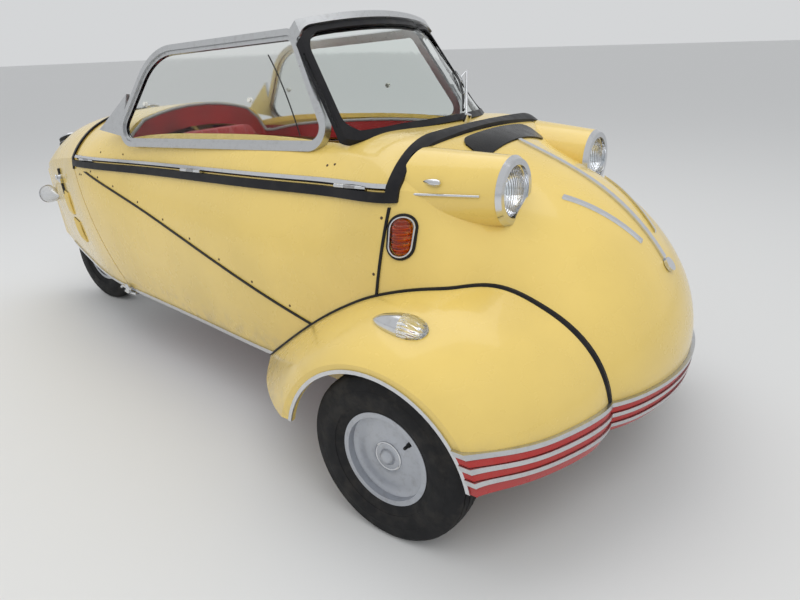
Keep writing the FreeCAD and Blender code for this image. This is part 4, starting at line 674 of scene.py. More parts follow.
def stuffed(data, cap, up, floor):
    """Swells a pad as inflated cloth, each point by no more than the cap, and flat where it rests."""
    scene = bpy.context.scene
    pad = placed("stuffing", meshed("stuffing", data))
    grid = pad.modifiers.new("grid", "REMESH")
    grid.mode = "VOXEL"
    grid.voxel_size = STUFFING_GRID
    even = shown(pad)
    pad.modifiers.clear()
    pad.data = even
    cloth = pad.modifiers.new("cloth", "CLOTH")
    cloth.settings.quality = 4
    cloth.settings.use_pressure = True
    cloth.settings.uniform_pressure_force = STUFFING_PRESSURE
    cloth.settings.effector_weights.gravity = 0
    for frame_number in range(1, STUFFING_FRAMES + 1):
        scene.frame_set(frame_number)
    swollen = pad.evaluated_get(bpy.context.evaluated_depsgraph_get()).to_mesh()
    result = bmesh.new()
    result.from_mesh(even)
    for vert, target in zip(result.verts, swollen.vertices):
        push = target.co - vert.co
        if push.length > cap:
            push *= cap / push.length
        vert.co += push
        vert.co[up] = max(vert.co[up], floor)
    scene.frame_set(1)
    bpy.data.objects.remove(pad)
    return softened(result)


def cushion(low, high, floor):
    """Seat cushion, stuffed and flat below."""
    return stuffed(pad_form(low, high, 0.16, 0.03), 0.007, 2, floor)


def backrest(low, high, pinch):
    """Upright back of a seat, stuffed and flat behind."""
    return stuffed(pad_form(low, high, 0.05, pinch), 0.006, 0, -0.0445)


class CAR_OT_seats(bpy.types.Operator):
    """Upholsters the front seat and the rear bench in pleated leathercloth with grey piping"""
    bl_idname = "car.seats"
    bl_label = "Upholstery"

    def execute(self, context):
        front = channels(cushion((-0.113, -0.203, 0.344), (0.303, 0.203, 0.456), 0.3405), FRONT_SEAT_HALF, 2)
        front_back = backrest((-0.041, -0.200, 0.004), (0.040, 0.200, 0.357), 0.05)
        for vert in front_back.verts:
            rise = max(0.0, vert.co.z / 0.362)
            vert.co.y *= 1 - 0.34 * rise ** 5
            vert.co.x *= 1 - 0.25 * rise ** 3
        moved(channels(front_back, FRONT_SEAT_HALF, 0), (-0.165, 0, 0.452), -10)
        rear = channels(cushion((-0.553, -0.223, 0.324), (-0.267, 0.223, 0.434), 0.3205), REAR_SEAT_HALF, 2)
        rear_back = channels(backrest((-0.036, -0.221, 0.004), (0.035, 0.221, 0.323), 0.04), REAR_SEAT_HALF, 0)
        moved(rear_back, (-0.597, 0, 0.414))
        seams = join(pad_piping(front, 0.425), pad_piping(rear, 0.405))
        for name, data, node in (("front_seat_cushion", front, "front_seat"),
                                 ("front_seat_backrest", front_back, None),
                                 ("rear_seat_cushion", rear, "rear_bench"),
                                 ("rear_seat_backrest", rear_back, None)):
            pad = piece(name, data, "red_leathercloth", "body")
            soften = pad.modifiers.new("rounder", "SUBSURF")
            soften.levels = soften.render_levels = 1
            if node:
                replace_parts(pad, node)
        piece("seat_piping", seams, "grey_piping", "body")
        return {"FINISHED"}


# Cabin
LINING_REAR, LINING_LENGTH, LINING_FOOT = -0.42, 1.08, 0.30
DIAL = Vector((0.7158, 0, 0.757))
DIAL_START, DIAL_STEP, NEEDLE_AT = -120, 10, -118      # degrees
GRIP_SHARE = 0.64       # of the bar between elbow and end
GRIP_RIBS = 13
LEVER_LEAN = Vector((0.895, 0, 0.447))
NO_WALL = 0.30          # half width taken where a lining reaches past its wall


def lined(tree, start, length, foot, top, inside, gap, thickness, cells):
    """Sheet along the inside of a wall, between two heights, on both sides of the car."""
    data = bmesh.new()
    bmesh.ops.create_grid(data, x_segments=cells[0], y_segments=cells[1], size=0.5)
    for vert in data.verts:
        x = start + (vert.co.x + 0.5) * length
        z = foot(x) + (vert.co.y + 0.5) * (top(x) - foot(x))
        spot = tree.ray_cast(Vector((x, inside, z)), Y)[0]
        vert.co = Vector((x, (spot.y if spot else NO_WALL) - gap, z))
    bmesh.ops.solidify(data, geom=data.faces[:], thickness=thickness)
    return both_sides(data)


def lining_top(x):
    """Height of the side lining's upper edge at x."""
    return 0.690 + 0.033 * (x + 0.65)


class CAR_OT_cabin(bpy.types.Operator):
    """Lines the cabin and adds the instruments, pedals, floor mat and grips"""
    bl_idname = "car.cabin"
    bl_label = "Cabin"

    def execute(self, context):
        walls = skin_of("upper_sides", "lower_sides")
        sheet = lined(walls, LINING_REAR, LINING_LENGTH, lambda x: LINING_FOOT, lining_top, 0, 0.0075, 0.004,
                      (56, 16))
        piece("side_linings", sheet, "red_leathercloth", "body")
        edge = []
        for i in range(57):
            x = LINING_REAR + LINING_LENGTH * i / 56
            spot = walls.ray_cast(Vector((x, 0, lining_top(x) - 0.002)), Y)[0]
            edge.append(Vector((x, spot.y - 0.0105, lining_top(x))))
        piece("lining_piping", both_sides(tube(edge, 0.005, 8)), "grey_piping", "body")
        mat = rounded_block((-0.40, -0.27, 0.2485), (0.66, 0.27, 0.2535), 0.002)
        join(mat, rounded_block((0.665, -0.33, 0.2485), (1.17, 0.33, 0.2535), 0.002))
        piece("floor_mat", mat, "red_floor_mat", "body")
        self.instruments()
        self.controls()
        return {"FINISHED"}

    def instruments(self):
        """Speedometer with its marks and needle, and a row of knobs on the dashboard"""
        bezel = turned(mm((0, 42.5), (0, 47), (-8, 47), (-12, 50), (-17, 48.5), (-17.5, 44.5), (-10, 42.5),
                          (0, 42.5)), 64, DIAL, X)
        piece("speedometer_bezel", bezel, "worn_chrome", "body")
        face = turned(mm((-1, 0.1), (-1, 42.3), (-6.5, 42.3), (-6.5, 0.1)), 64, DIAL, X)
        piece("speedometer_face", face, "dial_face", "body")
        marks = bmesh.new()
        for i in range(25):
            reach = 0.031 if i % 4 == 0 else 0.0345
            mark = rounded_block((-0.0072, -0.0007, reach), (-0.0062, 0.0007, 0.0395), 0.0002, 1)
            join(marks, moved(mark, DIAL, DIAL_START + DIAL_STEP * i, "X"))
        needle = rounded_block((-0.0098, -0.0009, -0.008), (-0.0088, 0.0009, 0.034), 0.0003, 1)
        join(needle, turned(mm((-10.5, 0.1), (-10.5, 3), (-6, 3.5), (-6, 0.1)), 20, axis=X))
        join(marks, moved(needle, DIAL, NEEDLE_AT, "X"))
        piece("speedometer_marks", marks, "dial_white", "body")
        knobs = bmesh.new()
        for y in (-0.175, -0.125, 0.100, 0.145, 0.190):
            knob = mm((0, 0.1), (0, 10), (-3, 11), (-5, 6), (-18, 5.5), (-22, 9.5), (-28, 10), (-31, 7),
                      (-32, 0.1))
            join(knobs, turned(knob, 24, DIAL + Vector((0, y, -0.006)), X))
        piece("dashboard_knobs", knobs, "moulded_black", "body")

    def controls(self):
        """Ribbed grips, gear lever, handbrake and three pedals"""
        for side in (-1, 1):
            elbow, grip = Vector((0.552, side * 0.070, 0.702)), Vector((0.500, side * 0.215, 0.708))
            run = (grip - elbow) * GRIP_SHARE
            length = run.length * 1000
            profile = mm((0, 14.1), (0, 17.5), (4, 18), (6, 16))
            for i in range(GRIP_RIBS):
                start = 8 + i * (length - 16) / GRIP_RIBS
                profile += mm((start, 15.5), (start + 3.5, 16.6), (start + 5.2, 15.5))
            profile += mm((length, 16), (length + 3, 14), (length + 4, 0.1))
            cover = turned(profile, 32, grip - run, run)
            piece("handlebar_grip_" + ("right" if side < 0 else "left"), cover, "moulded_black", "steering")
        lever = tube([(0.330, -0.292, 0.350), (0.345, -0.288, 0.440), (0.352, -0.268, 0.500),
                      (0.350, -0.258, 0.528)], 0.006, 12)
        join(lever, turned(mm((0, 0.1), (0, 7), (3, 7.5), (6, 6.5), (10, 6.2)), 20, (0.350, -0.258, 0.520), Z))
        join(lever, rounded_block((0.285, -0.300, 0.334), (0.375, -0.288, 0.372), 0.004))
        brake = tube([(0.130, 0.262, 0.262), (0.200, 0.262, 0.290), (0.330, 0.262, 0.352),
                      (0.380, 0.262, 0.374)], 0.0085, 12)
        join(brake, rounded_block((0.105, 0.254, 0.2485), (0.160, 0.270, 0.285), 0.004))
        join(lever, brake)
        piece("lever_rods", lever, "bare_steel", "body")
        knob = turned(mm((-4, 0.1), (-4, 9), (4, 15), (14, 17.5), (24, 14), (29, 6), (30, 0.1)), 28,
                      (0.350, -0.258, 0.528), Z)
        join(knob, turned(mm((0, 0.1), (0, 11), (3, 12.5), (88, 11.8), (94, 9), (95, 0.1)), 28,
                          (0.300, 0.262, 0.338), LEVER_LEAN))
        piece("lever_knobs", knob, "moulded_black", "body")
        stems, pads = bmesh.new(), bmesh.new()
        for y, width in ((-0.150, 0.052), (0.045, 0.060), (0.150, 0.052)):
            join(stems, tube([(1.085, y, 0.252), (1.100, y, 0.300), (1.082, y, 0.352), (1.066, y, 0.380)],
                             0.007, 10))
            pad = rounded_block((-0.006, -width / 2, -0.034), (0.006, width / 2, 0.034), 0.005)
            for i in range(5):
                join(pad, rounded_block((-0.0078, -width / 2 + 0.006, -0.025 + 0.0115 * i),
                                        (-0.004, width / 2 - 0.006, -0.021 + 0.0115 * i), 0.001, 2))
            join(pads, moved(pad, (1.062, y, 0.392), 28))
        piece("pedal_stems", stems, "chassis_black", "body")
        piece("pedal_pads", pads, "black_rubber", "body")


# Canopy trim
OPENING_REAR = -0.300
OPENING_SIDE = 0.297
TRIM_FRONT = 0.665      # the cockpit trim starts behind the windscreen's foot
WIPER_PIVOT = Vector((0.804, 0.0, 0.866))
WIPER_TIP = Vector((0.672, 0.226, 0.972))
BLADE_LENGTH, BLADE_PAST_TIP = 1.02, 0.22      # in lengths of the arm
# Edge of the sliding pane on each side: side, foot, rise and place along the car at a share of the rise
PANE_EDGES = [(-1, 0.846, 0.190, lambda share: 0.515 - 0.115 * share - 0.02 * share ** 3),
              (1, 0.828, 0.180, lambda share: 0.070 - 0.055 * share)]


def opening_path(inset, corner=0.022):
    """Points along both sides and the rear of the cockpit opening, this far inside its edge."""
    rear, side = OPENING_REAR + inset, OPENING_SIDE - inset
    straight = [TRIM_FRONT - 0.045 * i for i in range(21)]
    half = [Vector((x, -side, 0)) for x in straight if x > rear + corner + 0.01]
    for i in range(9):
        turn = math.tau / 32 * i
        half.append(Vector((rear + corner * (1 - math.sin(turn)), -side + corner * (1 - math.cos(turn)), 0)))
    half += [Vector((rear, y, 0)) for y in (-0.22, -0.16, -0.10, -0.04)]
    return half + [Vector((point.x, -point.y, 0)) for point in reversed(half)]


def edge_height(tree, point):
    """Height of the deck just outside the opening's edge at a point."""
    inner = Vector((max(point.x, OPENING_REAR + 0.05), max(-0.247, min(0.247, point.y)), 0))
    away = (Vector((point.x, point.y, 0)) - inner).normalized()
    return tree.ray_cast(Vector((point.x, point.y, 1.3)) + away * 0.022, -Z)[0].z


class CAR_OT_canopy(bpy.types.Operator):
    """Trims the cockpit edge with a red lining and grey piping, and adds wiper blade and window catches"""
    bl_idname = "car.canopy"
    bl_label = "Canopy trim"

    def execute(self, context):
        deck = skin_of("canopy_shell")
        cord, tops, feet, skirt = [], [], [], bmesh.new()
        for outer, inner in zip(opening_path(0.004), opening_path(0.0035)):
            height = edge_height(deck, outer)
            cord.append(Vector((outer.x, outer.y, height - 0.004)))
            tops.append(skirt.verts.new((inner.x, inner.y, height - 0.006)))
            feet.append(skirt.verts.new((inner.x, inner.y, max(height - 0.075, belt_height(inner.x) + 0.014))))
        for i in range(len(tops) - 1):
            skirt.faces.new((tops[i], tops[i + 1], feet[i + 1], feet[i]))
        bmesh.ops.subdivide_edges(skirt, edges=skirt.edges[:], cuts=1, use_grid_fill=True)
        bmesh.ops.solidify(skirt, geom=skirt.faces[:], thickness=0.0025)
        piece("cockpit_edge_piping", tube(cord, 0.0052, 12), "grey_piping", "canopy")
        piece("cockpit_edge_lining", skirt, "red_leathercloth", "canopy")
        shell = lined(deck, -0.56, 1.27, lambda x: belt_height(x) + 0.012, lambda x: belt_height(x) + 0.055,
                      0.24, 0.0032, 0.0022, (52, 6))
        piece("canopy_side_lining", shell, "red_leathercloth", "canopy")
        self.wiper_blade()
        self.window_catches()
        return {"FINISHED"}

    def wiper_blade(self):
        """Rubber blade in a sprung holder, lying on the glass behind the arm's tip"""
        glass = skin_of("screen_glass")
        rubber, spine = [], []
        for i in range(13):
            share = i / 12
            guess = WIPER_TIP + (WIPER_PIVOT - WIPER_TIP) * (share * BLADE_LENGTH - BLADE_PAST_TIP)
            spot, normal = glass.find_nearest(guess)[:2]
            if normal.x < 0:
                normal = -normal
            rubber.append(spot + normal * 0.0045)
            spine.append(spot + normal * (0.0095 + 0.006 * math.sin(math.pi * share)))
        piece("wiper_rubber", tube(rubber, 0.0034, 8), "black_rubber", "canopy")
        holder = tube(spine, 0.0022, 8)
        for i in (1, 4, 8, 11):
            join(holder, tube([spine[i], rubber[i]], 0.0022, 8))
        join(holder, tube([spine[3], WIPER_TIP], 0.0028, 8))
        piece("wiper_blade_holder", holder, "worn_chrome", "canopy")

    def window_catches(self):
        """Finger knobs on the sliding panes and the channel where two panes overlap"""
        knobs, lips = bmesh.new(), bmesh.new()
        pane = skin_of("side_panes")
        for side, foot, rise, line in PANE_EDGES:
            for x, z in ((0.325, 0.925), (-0.145, 0.905)):
                knob = mm((0, 0.1), (0, 7.5), (2, 8), (3, 5), (6, 4.8), (8, 6.5), (10, 6), (11, 0.1))
                join(knobs, aimed(turned(knob, 20), *on_skin(pane, x, z, side)))
            edge = [(line(i / 16), foot + rise * i / 16) for i in range(17)]
            join(lips, tube(laid(pane, edge, side, 0.0016), 0.0018, 8))
        piece("pane_catches", knobs, "dial_white", "canopy")
        piece("pane_edges", lips, "moulded_black", "canopy")


# Screws along the seams
class CAR_OT_screws(bpy.types.Operator):
    """Sets small screws along the body seams, at the rear of the belt and on the canopy"""
    bl_idname = "car.screws"
    bl_label = "Screws"

    def execute(self, context):
        sides = skin_of("upper_sides", "lower_sides", "nose_shell")
        deck = skin_of("canopy_shell")
        body, lid = bmesh.new(), bmesh.new()
        rows = [(x / 1000, side_seam(x / 1000) + 0.015) for x in range(-520, 600, 150)]
        rows += [(x / 1000, belt_height(x / 1000) - 0.055) for x in (-620, -605, -470)]
        rows += [(front_seam(z / 1000) - 0.020, z / 1000) for z in range(440, 700, 128)]
        for side in (-1, 1):
            for x, z in rows:
                join(body, screw(*on_skin(sides, x, z, side), 0.85))
            for x, z in ((0.655, 0.790), (0.632, 0.786), (-0.45, 0.742), (-0.30, 0.746)):
                join(lid, screw(*on_skin(deck, x, z, side), 0.8))
        piece("body_screws", body, "aged_screw", "body")
        piece("canopy_screws", lid, "aged_screw", "canopy")
        return {"FINISHED"}


# Tail cover fittings
LOUVRE_PANELS = [(-0.905, 0.505, 0.085, 0.090), (-0.830, 0.405, 0.100, 0.085)]   # middle x, z, length, height
LOUVRE_LEAN = 0.22
LOUVRES = 7
GRIP_NOTCHES = 36
FILLER = Vector((-1.222, 0, 0.694))
FILLER_AXIS = Vector((-0.388, 0, 0.922))


class CAR_OT_tail(bpy.types.Operator):
    """Presses louvres into the tail cover and adds its air slots, gasket and sill catches"""
    bl_idname = "car.tail"
    bl_label = "Tail cover details"

    def execute(self, context):
        cover = skin_of("tail_cover")
        shades, slats = bmesh.new(), bmesh.new()
        for side in (-1, 1):
            for mid_x, mid_z, length, height in LOUVRE_PANELS:
                sheet = bmesh.new()
                bmesh.ops.create_grid(sheet, x_segments=10, y_segments=10, size=0.5)
                for vert in sheet.verts:
                    rise = vert.co.y * height
                    x = mid_x + vert.co.x * length - LOUVRE_LEAN * rise
                    spot, normal = on_skin(cover, x, mid_z + rise, side)
                    vert.co = spot + normal * 0.0011
                bmesh.ops.solidify(sheet, geom=sheet.faces[:], thickness=0.0008)
                join(shades, sheet)
                for i in range(LOUVRES):
                    line = []
                    for j in range(9):
                        rise = (j / 8 - 0.5) * height * 0.94
                        x = mid_x + (i / (LOUVRES - 1) - 0.5) * length * 0.92 - LOUVRE_LEAN * rise
                        spot, normal = on_skin(cover, x, mid_z + rise, side)
                        line.append(spot + normal * (0.0012 + 0.0026 * math.sin(math.pi * (j + 0.4) / 8.8)))
                    join(slats, tube(line, 0.0042, 10))
        piece("louvre_shadows", shades, "louvre_shade", "tail")
        piece("louvre_slats", slats, "butter_paint", "tail")
        scoops, hooks = bmesh.new(), bmesh.new()
        for side in (-1, 1):
            line = [(-0.935 - 0.34 * 0.0095 * j, 0.535 + 0.0095 * j) for j in range(11)]
            join(scoops, tube(laid(cover, line, side, 0.001), 0.0075, 12))
            hook = mm((0, 0.1), (0, 12), (3, 12.5), (6, 8), (14, 7), (18, 11), (22, 10), (23.5, 0.1))
            join(hooks, aimed(turned(hook, 24), *on_skin(cover, -0.952, 0.600, side)))
        piece("air_slots", scoops, "moulded_black", "tail")
        piece("cover_buttons", hooks, "worn_chrome", "tail")
        gasket = turned(mm((-9, 40), (-9, 49.5), (0.5, 50.5), (3.5, 49), (4.5, 46.2), (4.5, 40), (-9, 40)), 56)
        collar = turned(mm((6.5, 40.1), (6.5, 42.5), (8.5, 43.2), (21.5, 43.2), (23.5, 42.5), (23.5, 40.1),
                           (6.5, 40.1)), 72)
        for vert in collar.verts:
            if math.hypot(vert.co.x, vert.co.y) > 0.0425:
                push = 1 + 0.012 * math.cos(math.atan2(vert.co.y, vert.co.x) * GRIP_NOTCHES)
                vert.co.x *= push
                vert.co.y *= push
        piece("filler_gasket", aimed(gasket, FILLER, FILLER_AXIS), "black_rubber", "tail")
        piece("filler_grip", aimed(collar, FILLER, FILLER_AXIS), "moulded_black", "tail")
        catches = rounded_block((-0.478, 0.0, 0.222), (-0.410, 0.020, 0.232), 0.003)
        join(catches, rounded_block((-0.452, 0.006, 0.226), (-0.434, 0.030, 0.262), 0.004))
        join(catches, tube([(-0.492, 0.020, 0.240), (-0.470, 0.026, 0.252), (-0.443, 0.028, 0.250),
                            (-0.420, 0.024, 0.244)], 0.0045, 10))
        catches = both_sides(moved(catches, (0, 0.282, 0.006)))
        piece("sill_catches", catches, "worn_chrome", "body")
        return {"FINISHED"}


# Engine and gear under the tail cover
class CAR_OT_engine(bpy.types.Operator):
    """Builds the finned single-cylinder engine with its fan housing, carburettor and exhaust"""
    bl_idname = "car.engine"
    bl_label = "Engine"

    def execute(self, context):
        low, high = (Vector(corner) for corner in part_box("engine_block"))
        foot = Vector(((low.x + high.x) / 2, 0, low.z))
        low, high = low - foot, high - foot
        case = rounded_block((low.x + 0.002, low.y + 0.018, 0.001), (high.x - 0.002, high.y - 0.03, 0.125),
                             0.020, 4)
        sump = mm((-96, 0.1), (-96, 40), (-90, 50), (-70, 54), (50, 54), (66, 48), (66, 0.1))
        join(case, turned(sump, 48, (0, 0, 0.062), Y))
        for i in range(12):
            angle = math.tau * i / 12
            place = (0.046 * math.cos(angle), -0.0965, 0.062 + 0.046 * math.sin(angle))
            join(case, turned(mm((0, 0.1), (0, 6), (5, 6), (6.5, 4.5), (6.5, 0.1)), 6, place, -Y))
        barrel = mm((120, 0.1), (120, 40), (128, 40))
        for start in range(130, 227, 12):
            barrel += mm((start, 36), (start + 1, 62), (start + 4, 62), (start + 5, 36))
        barrel += mm((240, 36), (242, 50), (250, 48), (256, 34), (258, 0.1))
        join(case, turned(barrel, 40, (0, -0.020, 0), Z))
        for i in range(6):
            y = -0.060 + 0.0155 * i
            join(case, rounded_block((-0.046, y, 0.255), (0.046, y + 0.004, 0.281), 0.0014, 2))
        done = piece("engine", moved(case, foot), "cast_engine_alloy", "body")
        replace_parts(done, "engine_block")
        fan = turned(mm((0, 0.1), (0, 62), (6, 66), (30, 66), (36, 60), (38, 40), (37, 0.1)), 56,
                     (0, 0.058, 0.072), Y)
        for i in range(9):
            slot = rounded_block((-0.003, 0.094, 0.018), (0.003, 0.097, 0.052), 0.001, 2)
            join(fan, moved(slot, (0, 0, 0.072), 40 * i))
        piece("fan_housing", moved(fan, foot), "chassis_black", "body")
        carb = rounded_block((-0.062, -0.078, 0.150), (-0.022, -0.040, 0.196), 0.007, 3)
        bowl = mm((-30, 0.1), (-30, 20), (-24, 24), (10, 24), (16, 20), (16, 0.1))
        join(carb, turned(bowl, 36, (-0.042, -0.060, 0.140), Z))
        piece("carburettor", moved(carb, foot), "dull_aluminium", "body")
        plug = turned(mm((0, 0.1), (0, 9), (8, 9), (10, 6), (26, 5.5), (28, 9), (42, 8.5), (44, 0.1)), 20,
                      (0.020, -0.012, 0.262), Z)
        piece("plug_cap", moved(plug, foot), "moulded_black", "body")
        pipe = tube([(0.040, -0.030, 0.180), (0.066, -0.052, 0.168), (0.072, -0.092, 0.120),
                     (0.050, -0.122, 0.060), (0.010, -0.134, 0.045)], 0.013, 12)
        silencer = mm((-150, 0.1), (-150, 12), (-142, 30), (-130, 38), (30, 38), (42, 30), (50, 13), (50, 0.1))
        join(pipe, turned(silencer, 36, (-0.030, -0.140, 0.045), X))
        piece("exhaust", moved(pipe, foot), "bare_steel", "body")
        return {"FINISHED"}


class CAR_OT_finishes(bpy.types.Operator):
    """Makes every material and gives the carried-over parts theirs"""
    bl_idname = "car.finishes"
    bl_label = "Finishes"

    def execute(self, context):
        make_finishes(context.scene.car_look)
        for name, members in NODE_FINISH.items():
            for member in members:
                mesh = NODES[member].data
                mesh.materials.clear()
                mesh.materials.append(MATERIALS[name])
        return {"FINISHED"}


# Carried-over rubbers, rims and frames
BAND_SHARE = 0.60       # how much of each strip's width in the CAD is kept
COWL_SHARE = 0.68
SCREEN_SHARE = 0.62
FRAME_SHARE = 0.60
SCREEN_NORMAL = Vector((0.694, 0, 0.720))
SMOOTHED = [("lamp_rims", "worn_chrome", "body", "chrome"), ("rear_lamps", "silver_lamp_body", "tail", "chrome"),
            ("header_bar", "dull_aluminium", "canopy", "aluminium")]
SMOOTHED += [("wheel_" + side, "silver_wheel_paint", "wheel_" + side, "wheel_paint") for side, _, _ in WHEELS]
BELT_REAR, BELT_LENGTH = -0.640, 1.485
PLATE_CENTRE = 0.923
PLATE_HALF = (0.034, 0.168)      # along and across the car


def narrowed(name, rule):
    """Mesh of a carried-over part; the rule gives each solid's kept share and tells its wall faces."""
    whole = bmesh.new()
    for solid in islands(name):
        share, is_wall = rule(solid)
        drawn_in(solid, [face.index for face in solid.faces if is_wall(face)], share)
        join(whole, solid)
    return whole


def seal_rule(strip):
    """The belt band is drawn up to its top face, the cowl seal back to its rear face."""
    xs = [vert.co.x for vert in strip.verts]
    if max(xs) - min(xs) > 0.5:
        return BAND_SHARE, lambda face: face.normal.z > 0.75
    return COWL_SHARE, lambda face: face.normal.x < -0.6


def outward(name, flat):
    """Function that gives the direction of a place from the part's middle, laid into its plane by flat."""
    low, high = (Vector(corner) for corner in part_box(name))
    return lambda place: flat(place - (low + high) / 2).normalized()


class CAR_OT_rubbers(bpy.types.Operator):
    """Narrows the rubbers and window frames to the photograph, smooths turned parts and lays the blank plate"""
    bl_idname = "car.rubbers"
    bl_label = "Rubbers and rims"

    def execute(self, context):
        redrawn("body_seals", narrowed("body_seals", seal_rule), "black_rubber", "body")
        away = outward("screen_seal", lambda line: line - SCREEN_NORMAL * line.dot(SCREEN_NORMAL))

        def outer(face):
            return face.normal.dot(away(face.calc_center_median())) > 0.7

        ring = narrowed("screen_seal", lambda solid: (SCREEN_SHARE, outer))
        redrawn("screen_seal", ring, "black_rubber", "canopy")
        for name, material, body, slot in SMOOTHED:
            redrawn(name, merged(name), material, body)
        self.frames()
        self.belt_lips()
        self.front_plate()
        return {"FINISHED"}

    def frames(self):
        """Window frames as bright bars with black rubber on their inner faces"""
        away = outward("window_frames", lambda line: Vector((line.x * 0.5, 0, line.z)))

        def outer(face):
            return abs(face.normal.y) < 0.6 and face.normal.dot(away(face.calc_center_median())) > 0.2

        bars = narrowed("window_frames", lambda solid: (FRAME_SHARE, outer))
        frames = redrawn("window_frames", bars, "dull_aluminium", "canopy")
        frames.data.materials.append(MATERIALS["black_rubber"])
        for face in frames.data.polygons:
            if abs(face.normal.y) < 0.6 and face.normal.dot(away(face.center)) < 0:
                face.material_index = 1

    def belt_lips(self):
        """Thin rubber lip between the belt strips and the canopy"""
        lips = bmesh.new()
        for side in (-1, 1):
            line = []
            for i in range(41):
                x = BELT_REAR + BELT_LENGTH * i / 40
                line.append((x, side * (belt_half_width(x) - 0.0035), belt_height(x)))
            join(lips, tube(line, 0.0028, 8))
        piece("belt_lips", lips, "black_rubber", "body")

    def front_plate(self):
        """Blank plate bent over the nose"""
        sheet = bmesh.new()
        bmesh.ops.create_grid(sheet, x_segments=10, y_segments=48, size=1)
        nose = skin_of("nose_shell")
        for vert in sheet.verts:
            along, across = vert.co.x, vert.co.y
            x = PLATE_CENTRE + PLATE_HALF[0] * along * (1 - 0.5 * abs(across) ** 14)
            spot, normal = nose.ray_cast(Vector((x, PLATE_HALF[1] * across, 1.3)), -Z)[:2]
            vert.co = spot + normal * 0.0042
        bmesh.ops.solidify(sheet, geom=sheet.faces[:], thickness=0.0036)
        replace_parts(piece("blank_front_plate", sheet, "blank_plate", "body"), "front_plate")


# Stage
FLOOR_HALF = 90
SENSOR_WIDTH = 36       # mm
LIGHTS = [("key", (3.2, -2.6, 4.2), (0, 0, 0.5), 3.4, 80), ("overhead", (-0.6, 0.6, 4.6), (0, 0, 0.4), 4.4, 60),
          ("fill", (-3.6, -3.4, 2.4), (-0.2, 0, 0.4), 2.8, 26)]      # name, place, aim, size, power


class CAR_OT_stage(bpy.types.Operator):
    """Sets the pale floor, soft lights and the camera at the photograph's angle"""
    bl_idname = "car.stage"
    bl_label = "Stage"

    def execute(self, context):
        view = context.scene.car_view
        data = bmesh.new()
        bmesh.ops.create_grid(data, x_segments=1, y_segments=1, size=FLOOR_HALF)
        floor = placed("floor", meshed("floor", data))
        floor.data.materials.append(Finish("pale_floor", (0.70, 0.70, 0.69), 0.9).material)
        world = bpy.data.worlds.new("soft_room")
        context.scene.world = world
        world.use_nodes = True
        nodes, links = world.node_tree.nodes, world.node_tree.links
        light, seen = nodes["Background"], nodes.new("ShaderNodeBackground")
        mix = nodes.new("ShaderNodeMixShader")
        light.inputs["Color"].default_value = (0.95, 0.97, 1.0, 1)
        light.inputs["Strength"].default_value = 0.72
        seen.inputs["Color"].default_value = (0.66, 0.67, 0.68, 1)
        path = nodes.new("ShaderNodeLightPath")
        rays = path.outputs["Is Camera Ray"]
        for other in ("Is Glossy Ray", "Is Transmission Ray"):
            most = nodes.new("ShaderNodeMath")
            most.operation = "MAXIMUM"
            links.new(rays, most.inputs[0])
            links.new(path.outputs[other], most.inputs[1])
            rays = most.outputs["Value"]
        links.new(rays, mix.inputs["Fac"])
        links.new(light.outputs["Background"], mix.inputs[1])
        links.new(seen.outputs["Background"], mix.inputs[2])
        links.new(mix.outputs["Shader"], nodes["World Output"].inputs["Surface"])
        for name, place, aim, size, power in LIGHTS:
            lamp = bpy.data.lights.new(name, "AREA")
            lamp.size = size
            lamp.energy = power
            holder = placed(name, lamp)
            holder.location = place
            holder.visible_glossy = name == "overhead"
            holder.rotation_euler = (Vector(aim) - Vector(place)).to_track_quat("-Z", "Y").to_euler()
        yaw, pitch, roll = view.yaw, view.pitch, view.roll
        look = Vector((math.cos(pitch) * math.cos(yaw), math.cos(pitch) * math.sin(yaw), -math.sin(pitch)))
        level = look.cross(Z).normalized()
        above = level.cross(look)
        right = math.cos(roll) * level + math.sin(roll) * above
        top = math.cos(roll) * above - math.sin(roll) * level
        lens = bpy.data.cameras.new("camera")
        lens.lens = view.lens
        lens.sensor_width = SENSOR_WIDTH
        camera = placed("camera", lens)
        turn = Matrix((right, top, -look)).transposed().to_4x4()
        camera.matrix_world = Matrix.Translation(Vector(view.place)) @ turn
        context.scene.camera = camera
        context.scene.view_settings.view_transform = "Standard"
        return {"FINISHED"}


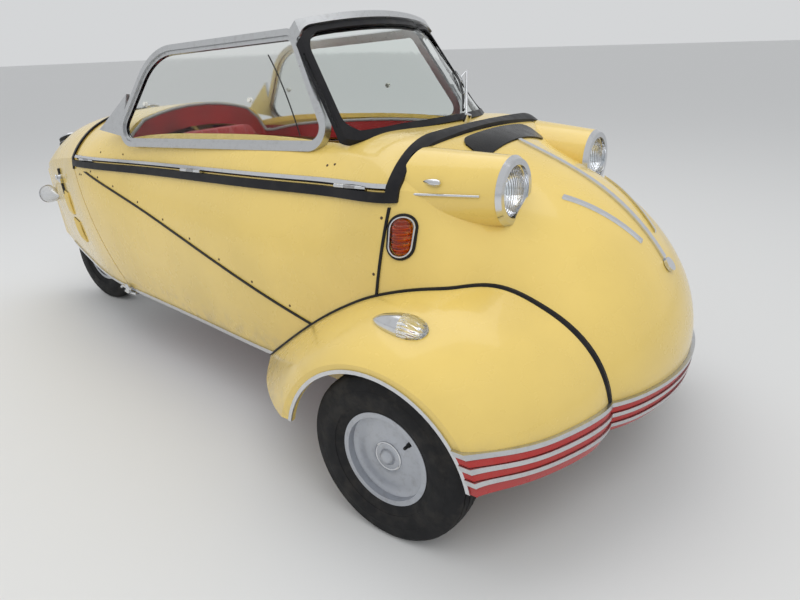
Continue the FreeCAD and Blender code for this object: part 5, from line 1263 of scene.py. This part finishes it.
class CarLook(bpy.types.PropertyGroup):
    paint: FloatVectorProperty(name="Paint", description="Body colour", subtype="COLOR",
                               default=(0.80, 0.585, 0.155), min=0, max=1)
    vinyl: FloatVectorProperty(name="Upholstery", description="Leathercloth colour", subtype="COLOR",
                               default=(0.36, 0.020, 0.020), min=0, max=1)


class CarView(bpy.types.PropertyGroup):
    place: FloatVectorProperty(name="Camera place", description="Where the camera stands", subtype="XYZ",
                               unit="LENGTH", default=(1.726, -1.521, 1.052))
    yaw: FloatProperty(name="Yaw", description="Direction the camera looks in, from +X", subtype="ANGLE",
                       default=math.radians(127.21))
    pitch: FloatProperty(name="Pitch", description="How far the camera looks down", subtype="ANGLE",
                         default=math.radians(21.2))
    roll: FloatProperty(name="Roll", description="Tilt of the camera about its view", subtype="ANGLE",
                        default=math.radians(-1.99))
    lens: FloatProperty(name="Lens", description="Focal length for a 36 mm sensor, in millimetres",
                        default=29.7)


OPERATORS = (CAR_OT_finishes, CAR_OT_rubbers, CAR_OT_stage, CAR_OT_tyres, CAR_OT_lamps, CAR_OT_seats,
             CAR_OT_cabin, CAR_OT_canopy, CAR_OT_screws, CAR_OT_tail, CAR_OT_engine)


class CAR_PT_panel(bpy.types.Panel):
    """Sizes, colours and steps of the car"""
    bl_idname = "CAR_PT_panel"
    bl_label = "Bubble car"
    bl_space_type = "VIEW_3D"
    bl_region_type = "UI"
    bl_category = "Bubble car"

    def draw(self, context):
        for group in (context.scene.car_look, context.scene.car_view):
            for key in group.bl_rna.properties.keys():
                if key not in ("name", "rna_type"):
                    self.layout.prop(group, key)
        for step in OPERATORS:
            self.layout.operator(step.bl_idname)


CLASSES = (CarLook, CarView, *OPERATORS, CAR_PT_panel)


def register():
    for item in CLASSES:
        bpy.utils.register_class(item)
    bpy.types.Scene.car_look = PointerProperty(type=CarLook)
    bpy.types.Scene.car_view = PointerProperty(type=CarView)


def unregister():
    del bpy.types.Scene.car_view
    del bpy.types.Scene.car_look
    for item in reversed(CLASSES):
        bpy.utils.unregister_class(item)


def main():
    register()
    for step in OPERATORS:
        getattr(bpy.ops.car, step.bl_idname.split(".")[1])()


if __name__ == "__main__":
    main()
